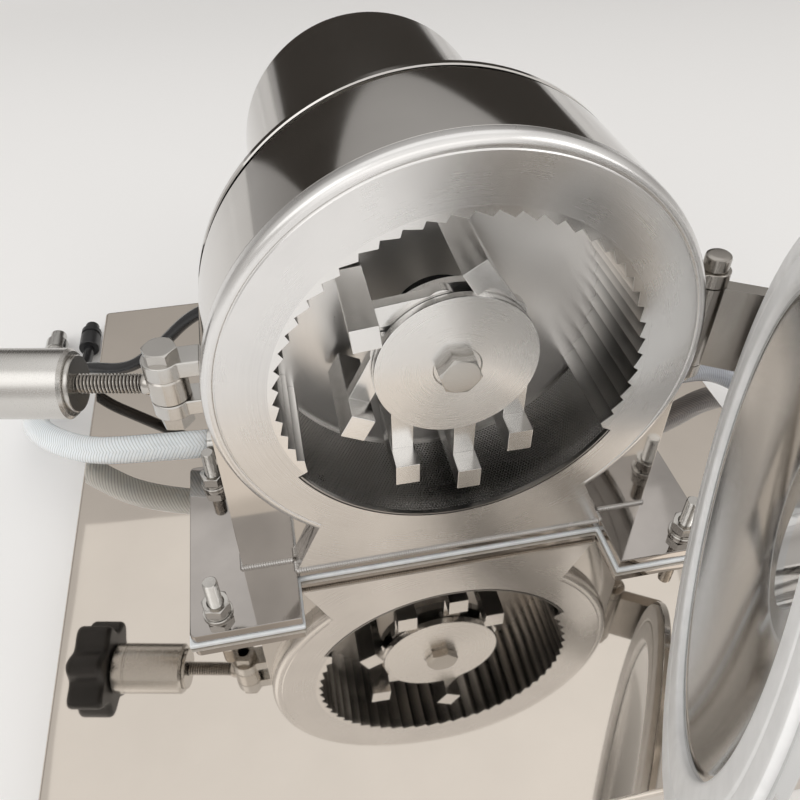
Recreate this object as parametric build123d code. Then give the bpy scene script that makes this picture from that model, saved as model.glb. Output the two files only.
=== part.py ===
from build123d import *
import os
from math import cos, radians, sin, sqrt, tan

# Sugar grinding machine: a swing-hammer mill with a water-cooled drum on a polished bed plate.
# Millimetres. Pieces are drawn about the drum axis: X to the right, Y to the back with zero on the
# front wall of the housing, Z up with zero on the axis. The last section stands them on the ground.

# Bed plate
plate_width = 550.0
plate_depth = 550.0
plate_height = 50.0
plate_sheet = 3.0
plate_corner = 4.0
drum_setback = 195.0
drum_lift = 18.0

# Housing
housing_radius = 150.0
housing_wall = 4.0
housing_depth = 77.0
chamber_depth = 60.0
back_plate_thickness = 6.0
weld_gap = 0.1

# Front ring with its bead and apron
ring_thickness = 10.0
bead_width = 7.0
bead_drop = 5.0
bead_groove = 0.8
apron_drop_share = 0.6
apron_half_share = 0.56

# Base flange, gasket and studs
flange_thickness = 8.0
gasket_thickness = 4.0
gasket_proud = 1.5
foot_inset = 37.0
foot_reach = 37.0
foot_front = 48.0
foot_back = 105.0
foot_corner = 4.0
stud_radius = 5.0
stud_hole_gap = 0.5
stud_stand = 35.0
stud_side_inset = 19.0
stud_front_inset = 16.0
stud_back_inset = 20.0
washer_radius = 10.0
washer_thickness = 2.0
spring_washer_radius = 8.8
spring_washer_thickness = 2.5
spring_washer_split = 2.0
nut_across_flats = 17.0
nut_height = 8.0
thread_gap = 0.1

# Toothed liner and screen
jacket_depth = 36.0
tooth_depth = 3.8
tooth_lean = 0.22
teeth_per_turn = 57
liner_wall = 2.5
liner_gap = 0.2
screen_half_angle = 60.0
screen_step = 2.5
screen_thickness = 2.0
screen_slip = 0.3
screen_end_gap = 1.0
sleeve_wall = 4.0
chute_clearance = 1.5
rail_width = 9.0
rail_drop = 22.0

# Powder outlet under the plate
outlet_wall = 2.0
outlet_lip = 12.0
outlet_radius = 45.0
outlet_spigot = 14.0
outlet_corner = 6.0

# Rotor
pin_circle_share = 0.40855
disc_margin = 7.5
disc_thickness = 6.0
disc_setback = 4.0
pin_radius = 5.0
pin_fit = 0.05
pin_blind = 4.0
first_pin_angle = 42.5
hub_radius = 22.0
bolt_radius = 8.0
bolt_across_flats = 24.0
bolt_head = 10.0
bolt_recess = 1.0
bolt_recess_radius = 15.0
bolt_grip = 33.0

# Hammers
hammer_tip_gap = 8.2
strap_width = 14.0
strap_thickness = 8.0
strap_side_gap = 0.6
eye_radius = 10.0
head_width_share = 0.14862
head_height_share = 0.15787
head_front_overhang = 17.0
head_back_overhang = 36.0
head_chamfer = 0.6
hammer_hang_angles = (122.0, 186.0, 243.0, 270.0, 270.0, 270.0)

# Shaft, seal and bearings
nose_radius = 14.0
shaft_radius = 20.0
core_shaft_radius = 22.0
key_fit = 0.05
seal_radius = 30.0
seal_length = 8.0
running_fit = 0.05
front_journal = 17.5
front_bearing_radius = 36.0
front_bearing_width = 17.0
rear_journal = 12.5
rear_bearing_radius = 26.0
rear_bearing_width = 15.0
bearing_seat_gap = 0.05

# Rear flange and motor
rear_groove = 6.0
rear_flange_thickness = 6.0
rear_flange_bore = 60.0
spigot_inset = 10.0
spigot_wall = 22.0
shroud_radius = 108.0
shroud_wall = 3.0
shroud_length = 254.0
shroud_edge = 14.0
shroud_overlap = 2.0
shield_thickness = 12.0
shield_lip = 4.0
shield_boss_wall = 10.0
shield_fit = 0.2
stator_bore = 60.0
stator_start = 61.0
stator_length = 115.0
stator_slots = 24
slot_width = 5.0
slot_depth = 20.0
air_gap = 0.6
winding_inner = 70.0
winding_outer = 98.0
winding_length = 22.0
rear_shield_thickness = 10.0
rear_space = 24.0

# Motor saddle
saddle_start = 200.0
saddle_length = 70.0
saddle_half = 80.0
saddle_flange_half = 116.0
saddle_flange = 8.0
saddle_side_drop = 76.0
saddle_window_half = 52.0
saddle_window_top = 122.0
saddle_gap = 0.3
saddle_bolt_inset = 16.0
saddle_bolt_radius = 5.0
saddle_bolt_flats = 17.0
saddle_bolt_head = 7.0

# Swing bolt on the left
swing_offset = 20.0
swing_setback = 25.0
ear_thickness = 11.0
ear_radius = 12.0
ear_waist_share = 0.7
eye_height = 17.4
eye_play = 0.3
rod_radius = 6.0
rod_length = 140.0
swing_rest_angle = 11.5
pivot_flats = 18.0
pivot_head = 7.5
pivot_nut = 10.0
clamp_distance = 52.5
clamp_washer_radius = 17.0
clamp_washer_thickness = 3.0
sleeve_radius = 21.0
sleeve_length = 61.0
sleeve_chamfer = 2.0
knob_length = 30.0
knob_body_radius = 32.0
knob_lobe_radius = 9.0
knob_lobe_circle = 32.0
knob_lobes = 7
knob_round = 4.0
knob_cap_radius = 16.0
knob_cap_height = 3.0
rod_fit = 0.1

# Hinge on the right
hinge_offset = 13.0
hinge_setback = 18.0
hinge_half = 30.0
hinge_ear = 10.0
hinge_ear_gap = 0.3
hinge_barrel_radius = 10.0
hinge_pin_radius = 6.0
hinge_pin_tail = 6.0
hinge_cap_radius = 8.0
hinge_cap_height = 10.0
hinge_cap_round = 2.0
arm_thickness = 10.0
arm_overlap = 36.0
arm_round = 6.0

# Door
door_overhang = 2.0
door_seal_gap = 0.3
door_gasket_thickness = 4.0
door_gasket_width = 31.0
door_gasket_inset = 3.0
door_flange = 5.0
door_dish_depth = 26.0
door_dish_wall = 3.0
door_dish_inset = 2.0
door_boss_radius = 48.0
door_open_angle = 59.0
lug_thickness = 7.0
lug_half_height = 18.0
lug_tip = 26.0
lug_slot_half = 7.0
lug_overlap = 26.0

# Feed hopper on the door
feed_radius = 32.0
feed_wall = 2.5
feed_rise_angle = 45.0
feed_pipe_length = 110.0
funnel_radius = 72.0
funnel_foot = 92.0
funnel_top = 150.0

# Water fittings, hoses and motor lead
elbow_radius = 9.0
elbow_nut_flats = 24.0
elbow_nut = 8.0
elbow_branch = 41.0
elbow_setback = 38.5
ferrule_radius = 13.0
ferrule_length = 30.0
hose_stand_off = 16.0
hose_rise = 37.0
hose_floor_gap = 0.1
hose_radius = 11.0
coupling_radius = 10.8
coupling_length = 40.0
coupling_nose = 8.0
coupling_groove = 1.5
lead_radius = 5.2
gland_angle = 205.0
gland_inset = 148.0
gland_radius = 9.0
gland_length = 18.0
connector_radius = 10.0
connector_length = 40.0
connector_groove = 1.5
connector_nose = 7.0
lead_clearance = 7.0

# Routes chosen by hand, as steps from where each cord leaves; no height means lying on what is below
left_hose_steps = [(0, 0, 0), (-60, 11, -6), (-105, 35, -23.2), (-152, 79.5, -36.5), (-168, 133.5, -59),
                   (-169, 189.5, None), (-169, 234.5, None)]
right_hose_steps = [(0, 0, 0), (64, 12.5, -4), (117, 25, -20.5), (156, -2.5, -41), (178, -52.5, -63),
                    (184, -107.5, None), (184, -163.5, None)]
lead_steps = [(0, 0, 0), (-27.19, 0, -12.68), (-58.3, 11, -27.8), (-91.8, 16, -62), (-123.3, 21, -85.3)]
lead_edge_steps = [(0.5, 43.5, 20.5), (-23, 68, 2), (-26.5, 93, -26), (-26.5, 123, None), (-26.5, 153, None)]

# Worked-out places
plate_top = -housing_radius - drum_lift
ground = plate_top - plate_height
plate_centre = plate_depth / 2 - drum_setback
foot_inner = housing_radius - foot_inset
foot_outer = housing_radius + foot_reach
base_bottom = plate_top + gasket_thickness
base_top = base_bottom + flange_thickness
ring_face = -ring_thickness
liner_outer = housing_radius - jacket_depth
tooth_tip_radius = liner_outer - liner_wall - tooth_depth
sleeve_inner = liner_outer + liner_gap
screen_inner = liner_outer + screen_step
screen_outer = screen_inner + screen_thickness
screen_start = 270.0 - screen_half_angle
screen_end = 270.0 + screen_half_angle
chute_half = screen_outer * sin(radians(screen_half_angle)) + chute_clearance
chute_front = housing_wall
chute_middle = (chute_front + chamber_depth) / 2
pin_circle = pin_circle_share * tooth_tip_radius
disc_radius = pin_circle + disc_margin
head_width = head_width_share * tooth_tip_radius
head_height = head_height_share * tooth_tip_radius
hammer_reach = tooth_tip_radius - hammer_tip_gap - head_height / 2 - pin_circle
disc_back = disc_setback + disc_thickness
strap_front = disc_back + strap_side_gap
strap_back = strap_front + strap_thickness
rear_disc_front = strap_back + strap_side_gap
rear_disc_back = rear_disc_front + disc_thickness
back_plate_back = chamber_depth + back_plate_thickness
spigot_radius = housing_radius - spigot_inset
rear_flange_front = housing_depth + rear_groove
motor_front = rear_flange_front + rear_flange_thickness
shroud_back = motor_front + shroud_overlap + shroud_length
shroud_inner = shroud_radius - shroud_wall
front_bearing_start = motor_front + shield_lip
front_bearing_end = front_bearing_start + front_bearing_width
rear_bearing_end = shroud_back - rear_space + rear_bearing_width / 2
rear_bearing_start = rear_bearing_end - rear_bearing_width
swing_x = -(housing_radius + swing_offset)
hinge_x = housing_radius + hinge_offset
door_radius = housing_radius + door_overhang
door_gasket_outer = door_radius - door_gasket_inset
door_gasket_inner = door_gasket_outer - door_gasket_width
door_seal_face = ring_face - door_seal_gap
door_inner_face = door_seal_face - door_gasket_thickness
door_outer_face = door_inner_face - door_flange
dish_bottom = door_inner_face - door_dish_depth
gland_y = shroud_back - gland_inset
gland_heading = (cos(radians(gland_angle)), 0.0, sin(radians(gland_angle)))
pin_angles = [first_pin_angle + 60.0 * index for index in range(6)]


def along_x(sketch, x0, x1):
    """A sketch drawn in (y, z), as a solid from x0 to x1."""
    return extrude(Plane.YZ.offset(x0) * sketch, amount=x1 - x0)


def along_y(sketch, y0, y1):
    """A sketch drawn in (x, z), as a solid from y0 to y1."""
    return extrude(Plane.XZ.offset(-y0) * sketch, amount=y0 - y1)


def along_z(sketch, z0, z1):
    """A sketch drawn in (x, y), as a solid from z0 to z1."""
    return extrude(Plane.XY.offset(z0) * sketch, amount=z1 - z0)


def outline(points):
    return make_face(Polyline(*points, close=True))


def turned(points):
    """A profile of (radius, y) points, turned about the drum axis."""
    return revolve(outline(points), Axis.Y)


def ring_y(outer, inner, y0, y1):
    return along_y(Circle(outer) - Circle(inner), y0, y1)


def polar(radius, angle):
    return (radius * cos(radians(angle)), radius * sin(radians(angle)))


def wedge(start, end, reach):
    """A sector of under a half turn, wide enough to trim circles smaller than reach."""
    middle = (start + end) / 2
    points = [(0, 0), polar(2 * reach, start), polar(2 * reach, middle), polar(2 * reach, end)]
    return outline(points)


def hexagon(across_flats):
    return RegularPolygon(across_flats / 2, 6, major_radius=False)


def u_profile(radius, bottom):
    """A half round on straight legs, the outline of the housing."""
    return Circle(radius) + Pos(0, bottom / 2) * Rectangle(2 * radius, -bottom)


def screen_sector(radius):
    return Circle(radius) & wedge(screen_start, screen_end, housing_radius)


def mouth():
    """The hole in the front of the drum: the liner's bore, wider where the screen slides in."""
    return Circle(sleeve_inner) + screen_sector(screen_outer + screen_slip)


def chute():
    """The way down for the powder, seen from above."""
    return Pos(0, chute_middle) * Rectangle(2 * chute_half, chamber_depth - chute_front)


def stud_places():
    front = -foot_front + stud_front_inset
    back = foot_back - stud_back_inset
    side = foot_outer - stud_side_inset
    return [(-side, front), (side, front), (-side, back), (side, back)]


def saddle_bolt_places():
    side = saddle_flange_half - saddle_bolt_inset
    front = saddle_start + saddle_bolt_inset
    back = saddle_start + saddle_length - saddle_bolt_inset
    return [(-side, front), (side, front), (-side, back), (side, back)]


def at_places(places, solid):
    return [Pos(x, y, 0) * solid for x, y in places]


# Bed plate: a sheet with the powder hole and the fixing holes, and the skirt welded under its edge
def make_bed_plate():
    sheet_bottom = plate_top - plate_sheet
    sheet = Pos(0, plate_centre) * RectangleRounded(plate_width, plate_depth, plate_corner) - chute()
    for x, y in stud_places():
        sheet -= Pos(x, y) * Circle(stud_radius + weld_gap)
    for x, y in saddle_bolt_places():
        sheet -= Pos(x, y) * Circle(saddle_bolt_radius + weld_gap)
    return along_z(sheet, sheet_bottom, plate_top)


def make_bed_skirt():
    outer = RectangleRounded(plate_width, plate_depth, plate_corner)
    inner = RectangleRounded(plate_width - 2 * plate_sheet, plate_depth - 2 * plate_sheet,
                             plate_corner - plate_sheet)
    return along_z(Pos(0, plate_centre) * (outer - inner), ground, plate_top - plate_sheet)


# Powder outlet: a rectangular mouth under the plate, drawn in to a round spigot
def make_outlet_collar():
    top = plate_top - plate_sheet
    neck = ground + outlet_spigot
    length = chamber_depth - chute_front
    place = Pos(0, chute_middle)

    def hopper(wall):
        mouth_face = Plane.XY.offset(top) * place * RectangleRounded(2 * chute_half + 2 * wall,
                                                                    length + 2 * wall, outlet_corner)
        neck_face = Plane.XY.offset(neck) * place * Circle(outlet_radius + wall)
        return loft([mouth_face, neck_face]) + along_z(place * Circle(outlet_radius + wall), ground, neck)

    lip = RectangleRounded(2 * chute_half + 2 * outlet_lip, length + 2 * outlet_lip, outlet_corner)
    collar = along_z(place * lip, top - outlet_wall, top) + hopper(outlet_wall)
    return collar - hopper(0)


# Base flange and its gasket: two feet reaching forward on either side of the apron
def base_outline(proud):
    side = foot_outer + proud
    inner = foot_inner - proud
    front = -foot_front - proud
    notch = ring_face - proud
    back = foot_back + proud
    points = [(-side, back), (-side, front), (-inner, front), (-inner, notch),
              (inner, notch), (inner, front), (side, front), (side, back)]
    shape = outline(points)
    return fillet(shape.vertices(), foot_corner)


def make_base_layer(proud, bottom, top):
    layer = along_z(base_outline(proud), bottom, top) - along_z(chute(), bottom, top)
    for x, y in stud_places():
        layer -= along_z(Pos(x, y) * Circle(stud_radius + stud_hole_gap), bottom, top)
    return layer


# Studs welded in the plate, each with a flat washer, a split spring washer and a nut
def make_base_studs():
    bar = along_z(Circle(stud_radius), plate_top - plate_sheet, base_top + stud_stand)
    tip = bar.edges().sort_by(Axis.Z)[-1]
    return at_places(stud_places(), chamfer(tip, 1.0))


def make_base_washers():
    flat = Circle(washer_radius) - Circle(stud_radius + thread_gap)
    return at_places(stud_places(), along_z(flat, base_top, base_top + washer_thickness))


def make_base_spring_washers():
    coil = Circle(spring_washer_radius) - Circle(stud_radius + thread_gap)
    split = Pos(spring_washer_radius, 0) * Rectangle(2 * spring_washer_radius, spring_washer_split)
    bottom = base_top + washer_thickness
    return at_places(stud_places(), along_z(coil - split, bottom, bottom + spring_washer_thickness))


def make_base_nuts():
    bottom = base_top + washer_thickness + spring_washer_thickness
    nut = hexagon(nut_across_flats) - Circle(stud_radius + thread_gap)
    return at_places(stud_places(), along_z(nut, bottom, bottom + nut_height))


# Housing: the polished band with its straight legs, closed in front by the gusset wall
def make_housing_shell():
    band = u_profile(housing_radius, base_top)
    hollow = u_profile(housing_radius - housing_wall, base_top)
    shell = along_y(band - hollow, 0, housing_depth)
    wall = along_y(band - mouth(), 0, housing_wall)
    return shell + wall


def make_front_ring():
    radius = housing_radius
    groove = radius - bead_width
    profile = [(0, 0), (radius, 0), (radius, ring_face + bead_drop),
               (radius - 0.3 * bead_width, ring_face + 0.35 * bead_drop),
               (radius - 0.62 * bead_width, ring_face), (groove + bead_groove, ring_face),
               (groove, ring_face + bead_groove), (groove - bead_groove, ring_face), (0, ring_face)]
    apron_top = -apron_drop_share * radius
    apron_half = apron_half_share * radius
    apron = outline([(-apron_half, apron_top), (apron_half, apron_top),
                     (foot_inner, base_top), (-foot_inner, base_top)])
    ring = turned(profile) + along_y(apron, ring_face, 0)
    return ring - along_y(mouth(), ring_face, 0)


def make_back_plate():
    radius = housing_radius - housing_wall - weld_gap
    plate = along_y(u_profile(radius, base_top), chamber_depth, back_plate_back)
    return plate - along_y(Circle(seal_radius + weld_gap), chamber_depth, back_plate_back)


# Chamber sleeve: carries the liner and runs down on both sides as the powder chute
def screen_rail():
    """The ledge under one end of the screen."""
    top = -sleeve_inner * cos(radians(screen_half_angle)) - chute_clearance
    ledge = Rectangle(rail_width, rail_drop, align=(Align.MAX, Align.MAX))
    return Pos(chute_half, top) * ledge - Circle(screen_outer + screen_slip)


def make_chamber_sleeve():
    sleeve = Circle(sleeve_inner + sleeve_wall) - screen_sector(housing_radius)
    height = -base_top - sleeve_inner * cos(radians(screen_half_angle))
    leg = Rectangle(sleeve_wall, height, align=(Align.MIN, Align.MIN))
    shelf_length = chute_half + sleeve_wall - sleeve_inner * sin(radians(screen_half_angle))
    shelf = Rectangle(shelf_length, sleeve_wall, align=(Align.MAX, Align.MIN))
    right = Pos(chute_half, base_top) * leg + Pos(chute_half + sleeve_wall, base_top + height) * shelf
    right += screen_rail()
    walls = right + mirror(right, Plane.YZ)
    return along_y(sleeve + walls - Circle(sleeve_inner), chute_front, chamber_depth)


# Toothed liner: saw teeth all the way round the part of the bore that the screen leaves free
def make_toothed_liner():
    pitch = 360.0 / teeth_per_turn
    span = 360.0 - 2 * screen_half_angle
    count = round(span / pitch)
    root = tooth_tip_radius + tooth_depth
    first = screen_end - 360.0
    saw = []
    for index in range(count):
        angle = first + span * index / count
        tip_angle = first + span * (index + tooth_lean) / count
        saw += [polar(root, angle), polar(tooth_tip_radius, tip_angle)]
    saw += [polar(root, screen_start)]
    rim = ThreePointArc(polar(liner_outer, screen_start), (0, liner_outer), polar(liner_outer, first))
    ends = [Line(saw[-1], polar(liner_outer, screen_start)), Line(polar(liner_outer, first), saw[0])]
    return along_y(make_face([Polyline(*saw), ends[0], rim, ends[1]]), ring_face, chamber_depth)


def make_screen():
    trim = screen_end_gap / screen_inner * 180.0 / 3.14159
    arc = Circle(screen_outer) - Circle(screen_inner)
    return along_y(arc & wedge(screen_start + trim, screen_end - trim, housing_radius),
                   ring_face, chamber_depth)


# Rotor: a front disc and a rear disc with its hub, clamped to the shaft by the centre bolt
def pin_holes(y0, y1):
    holes = [Pos(*polar(pin_circle, angle)) * Circle(pin_radius + pin_fit) for angle in pin_angles]
    return along_y(Sketch() + holes, y0, y1)


def make_rotor_front_disc():
    disc = ring_y(disc_radius, bolt_radius + 0.3, disc_setback, disc_back)
    disc -= along_y(Circle(bolt_recess_radius), disc_setback, disc_setback + bolt_recess)
    rim = disc.edges().filter_by(GeomType.CIRCLE).sort_by(SortBy.RADIUS)[-2:]
    return chamfer(rim, 0.8) - pin_holes(disc_back - pin_blind, disc_back)


def make_rotor_rear_disc():
    disc = ring_y(disc_radius, nose_radius + key_fit, rear_disc_front, rear_disc_back)
    hub = ring_y(hub_radius, nose_radius + key_fit, disc_back, rear_disc_front)
    return disc + hub - pin_holes(rear_disc_front, rear_disc_back)


def make_hammer_pins():
    bar = along_y(Circle(pin_radius), disc_back - pin_blind, rear_disc_back)
    places = [polar(pin_circle, angle) for angle in pin_angles]
    return [Pos(x, 0, z) * bar for x, z in places]


def make_hammer(pin_angle, hang_angle):
    """A T-shaped hammer, drawn pointing to the right and turned about its pin."""
    strap = Circle(eye_radius) + Rectangle(hammer_reach, strap_width, align=(Align.MIN, Align.CENTER))
    head = Pos(hammer_reach, 0) * Rectangle(head_height, head_width)
    block = along_y(head, strap_front - head_front_overhang, strap_back + head_back_overhang)
    block = chamfer(block.edges(), head_chamfer)
    hammer = along_y(strap, strap_front, strap_back) + block
    hammer -= along_y(Circle(pin_radius + pin_fit), strap_front, strap_back)
    x, z = polar(pin_circle, pin_angle)
    return Pos(x, 0, z) * Rot(0, -hang_angle, 0) * hammer


def make_rotor_bolt():
    seat = disc_setback + bolt_recess
    head = along_y(hexagon(bolt_across_flats), seat - bolt_head, seat)
    crown = turned([(0, seat - bolt_head), (0.46 * bolt_across_flats, seat - bolt_head),
                    (0.6 * bolt_across_flats, seat - bolt_head + 2.0), (0.6 * bolt_across_flats, seat),
                    (0, seat)])
    return (head & crown) + along_y(Circle(bolt_radius), seat, seat + bolt_grip)


# Shaft with its seal and bearings
def make_drive_shaft():
    nose = disc_back + bolt_recess
    tail = rear_bearing_end + shield_lip
    profile = [(0, nose), (nose_radius, nose), (nose_radius, rear_disc_back),
               (shaft_radius, rear_disc_back), (shaft_radius, front_bearing_start),
               (front_journal, front_bearing_start), (front_journal, front_bearing_end),
               (core_shaft_radius, front_bearing_end), (core_shaft_radius, rear_bearing_start),
               (rear_journal, rear_bearing_start), (rear_journal, tail), (0, tail)]
    hole_end = disc_setback + bolt_recess + bolt_grip + 2.0
    return turned(profile) - along_y(Circle(bolt_radius + thread_gap), nose, hole_end)


def make_shaft_seal():
    return ring_y(seal_radius, shaft_radius + running_fit, chamber_depth, chamber_depth + seal_length)


def make_bearing(radius, bore, start, end):
    """A ball bearing as one ring, with the step between its races on both faces."""
    middle = (radius + bore) / 2
    half = (radius - bore) / 6
    ring = ring_y(radius, bore, start, end)
    ring -= ring_y(middle + half, middle - half, start, start + 1.0)
    return ring - ring_y(middle + half, middle - half, end - 1.0, end)


# Rear flange: the thin rim behind the band, spaced off the back plate by a spigot
def make_rear_flange():
    inner = spigot_radius - spigot_wall
    return turned([(rear_flange_bore, rear_flange_front), (inner, rear_flange_front),
                   (inner, back_plate_back), (spigot_radius, back_plate_back),
                   (spigot_radius, rear_flange_front), (housing_radius, rear_flange_front),
                   (housing_radius, motor_front), (rear_flange_bore, motor_front)])


# Motor: end shields, cores and windings under a polished shroud
def make_motor_front_shield():
    outer = shroud_inner - shield_fit
    boss = front_bearing_radius + shield_boss_wall
    face = motor_front
    return turned([(shaft_radius + shield_lip, face), (outer, face), (outer, face + shield_thickness),
                   (boss, face + shield_thickness), (boss, front_bearing_end),
                   (front_bearing_radius + bearing_seat_gap, front_bearing_end),
                   (front_bearing_radius + bearing_seat_gap, front_bearing_start),
                   (shaft_radius + shield_lip, front_bearing_start)])


def make_motor_rear_shield():
    outer = shroud_inner - shield_fit
    seat = rear_bearing_radius + bearing_seat_gap
    boss = seat + shield_boss_wall
    end = rear_bearing_start + rear_shield_thickness
    return turned([(seat, rear_bearing_start), (outer, rear_bearing_start), (outer, end), (boss, end),
                   (boss, rear_bearing_end), (seat, rear_bearing_end)])


def make_motor_shroud():
    mouth_y = motor_front + shroud_overlap
    cup = along_y(Circle(shroud_radius), mouth_y, shroud_back)
    cup = fillet(cup.edges().sort_by(Axis.Y)[-1], shroud_edge)
    hollow = along_y(Circle(shroud_inner), mouth_y, shroud_back - shroud_wall)
    hollow = fillet(hollow.edges().sort_by(Axis.Y)[-1], shroud_edge - shroud_wall)
    return cup - hollow


def make_stator_core():
    slot = Rectangle(stator_bore + slot_depth, slot_width, align=(Align.MIN, Align.CENTER))
    slots = [Rot(0, 0, 360.0 * index / stator_slots) * slot for index in range(stator_slots)]
    core = Circle(shroud_inner - shield_fit) - Circle(stator_bore) - slots
    start = motor_front + stator_start
    return along_y(core, start, start + stator_length)


def make_stator_windings():
    front = motor_front + stator_start
    back = front + stator_length
    turns = []
    for start in (front - winding_length, back):
        ring = ring_y(winding_outer, winding_inner, start, start + winding_length)
        turns.append(fillet(ring.edges().filter_by(GeomType.CIRCLE), 0.3 * winding_length))
    return turns


def make_rotor_core():
    start = motor_front + stator_start
    return ring_y(stator_bore - air_gap, core_shaft_radius + key_fit, start, start + stator_length)


# Motor saddle: an arched casting under the shroud, bolted down to the plate
def make_motor_saddle():
    foot = plate_top + saddle_flange
    side = [(-saddle_flange_half, plate_top), (saddle_flange_half, plate_top),
            (saddle_flange_half, foot), (saddle_half, foot), (saddle_half, -saddle_side_drop),
            (-saddle_half, -saddle_side_drop), (-saddle_half, foot), (-saddle_flange_half, foot)]
    window = outline([(-saddle_window_half, foot), (saddle_window_half, foot),
                      (0.9 * saddle_window_half, -saddle_window_top),
                      (-0.9 * saddle_window_half, -saddle_window_top)])
    casting = outline(side) - Circle(shroud_radius + saddle_gap) - window
    saddle = along_y(casting, saddle_start, saddle_start + saddle_length)
    for x, y in saddle_bolt_places():
        saddle -= along_z(Pos(x, y) * Circle(saddle_bolt_radius + stud_hole_gap), plate_top, foot)
    return saddle


def make_saddle_bolts():
    seat = plate_top + saddle_flange
    bolt = along_z(Circle(saddle_bolt_radius), plate_top - plate_sheet, seat)
    bolt += along_z(hexagon(saddle_bolt_flats), seat, seat + saddle_bolt_head)
    return at_places(saddle_bolt_places(), bolt)


# Swing bolt: a clevis on the drum's left side, the eye bolt in it, and the clamp knob on its rod
def housing_block():
    return along_y(u_profile(housing_radius, base_top), 0, housing_depth)


def ear(x, y, radius, bore, z0, z1):
    """A round-ended lug from the drum's side to a vertical pin."""
    reach = abs(x) - housing_radius + 2 * housing_wall
    side = 1 if x < 0 else -1
    tongue = Pos(side * reach / 2, 0) * Rectangle(reach, 2 * radius * ear_waist_share)
    lug = Pos(x, y) * (Circle(radius) + tongue - Circle(bore))
    return along_z(lug, z0, z1) - housing_block()


def make_bolt_clevis():
    inner = eye_height / 2 + eye_play
    bore = rod_radius + pin_fit
    upper = ear(swing_x, swing_setback, ear_radius, bore, inner, inner + ear_thickness)
    lower = ear(swing_x, swing_setback, ear_radius, bore, -inner - ear_thickness, -inner)
    return [upper, lower]


def make_swing_pivot():
    top = eye_height / 2 + eye_play + ear_thickness
    bolt = along_z(Circle(rod_radius), -top - pivot_nut, top)
    bolt += along_z(hexagon(pivot_flats), top, top + pivot_head)
    nut = along_z(hexagon(pivot_flats) - Circle(rod_radius + thread_gap), -top - pivot_nut, -top)
    return [Pos(swing_x, swing_setback, 0) * piece for piece in (bolt, nut)]


def swung(piece):
    """Moves a piece drawn along -X from the pivot to where the bolt hangs when it is open."""
    return Pos(swing_x, swing_setback, 0) * Rot(0, 0, -swing_rest_angle) * piece


def make_swing_bolt():
    eye = along_z(Circle(ear_radius), -eye_height / 2, eye_height / 2)
    rod = along_x(Circle(rod_radius), -rod_length, 0)
    bore = along_z(Circle(rod_radius + pin_fit), -eye_height / 2, eye_height / 2)
    return swung(eye + rod - bore)


def make_clamp_washer():
    flat = Circle(clamp_washer_radius) - Circle(rod_radius + rod_fit)
    return swung(along_x(flat, -clamp_distance - clamp_washer_thickness, -clamp_distance))


def make_clamp_sleeve():
    start = clamp_distance + clamp_washer_thickness
    sleeve = along_x(Circle(sleeve_radius), -start - sleeve_length, -start)
    sleeve = chamfer(sleeve.edges(), sleeve_chamfer)
    return swung(sleeve - along_x(Circle(rod_radius + rod_fit), -start - sleeve_length, -start))


def make_star_knob():
    start = clamp_distance + clamp_washer_thickness + sleeve_length
    lobe = Pos(knob_lobe_circle, 0) * Circle(knob_lobe_radius)
    star = Circle(knob_body_radius) + [Rot(0, 0, 360.0 * index / knob_lobes) * lobe
                                       for index in range(knob_lobes)]
    knob = along_x(star, -start - knob_length, -start)
    rims = knob.faces().filter_by(Axis.X).edges()
    knob = fillet(rims, knob_round)
    knob += along_x(Circle(knob_cap_radius), -start - knob_length - knob_cap_height, -start - knob_length)
    return swung(knob - along_x(Circle(rod_radius + rod_fit), -rod_length - 1.0, -start))


# Hinge: two ears on the drum, a capped pin, and the door's arm between the ears
def make_hinge_ears():
    inner = hinge_half + hinge_ear_gap
    bore = hinge_pin_radius + pin_fit
    upper = ear(hinge_x, hinge_setback, hinge_barrel_radius, bore, inner, inner + hinge_ear)
    lower = ear(hinge_x, hinge_setback, hinge_barrel_radius, bore, -inner - hinge_ear, -inner)
    return [upper, lower]


def make_hinge_pin():
    top = hinge_half + hinge_ear_gap + hinge_ear
    pin = along_z(Circle(hinge_pin_radius), -top - hinge_pin_tail, top)
    cap = along_z(Circle(hinge_cap_radius), top, top + hinge_cap_height)
    cap = fillet(cap.edges().sort_by(Axis.Z)[-1], hinge_cap_round)
    return Pos(hinge_x, hinge_setback, 0) * (pin + cap)


def opened(piece):
    """Swings a piece of the closed door round the hinge to where it stands open."""
    return (Pos(hinge_x, hinge_setback, 0) * Rot(0, 0, door_open_angle)
            * Pos(-hinge_x, -hinge_setback, 0) * piece)


def make_door_hinge_arm():
    front = door_outer_face - arm_thickness
    half = arm_thickness / 2
    bend = outline([(hinge_x - half, hinge_setback), (hinge_x - half, door_outer_face),
                    (hinge_x - half - arm_overlap, door_outer_face), (hinge_x - half - arm_overlap, front),
                    (hinge_x + half, front), (hinge_x + half, hinge_setback)])
    bend = fillet(bend.vertices().sort_by(Axis.Y)[:2].sort_by(Axis.X)[-1], arm_round)
    shape = bend + Pos(hinge_x, hinge_setback) * Circle(hinge_barrel_radius)
    shape -= Pos(hinge_x, hinge_setback) * Circle(hinge_pin_radius + pin_fit)
    return opened(along_z(shape, -hinge_half, hinge_half))


# Door: a flat flange with a dished middle, a wide gasket and the lug that the swing bolt clamps
def feed_pipe(radius):
    """The sloping pipe, run on inwards through the middle of the door."""
    bar = extrude(Plane.XY.offset(-2 * feed_radius) * Circle(radius),
                  amount=2 * feed_radius + feed_pipe_length)
    return Pos(0, dish_bottom, 0) * Rot(90 - feed_rise_angle, 0, 0) * bar


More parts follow.
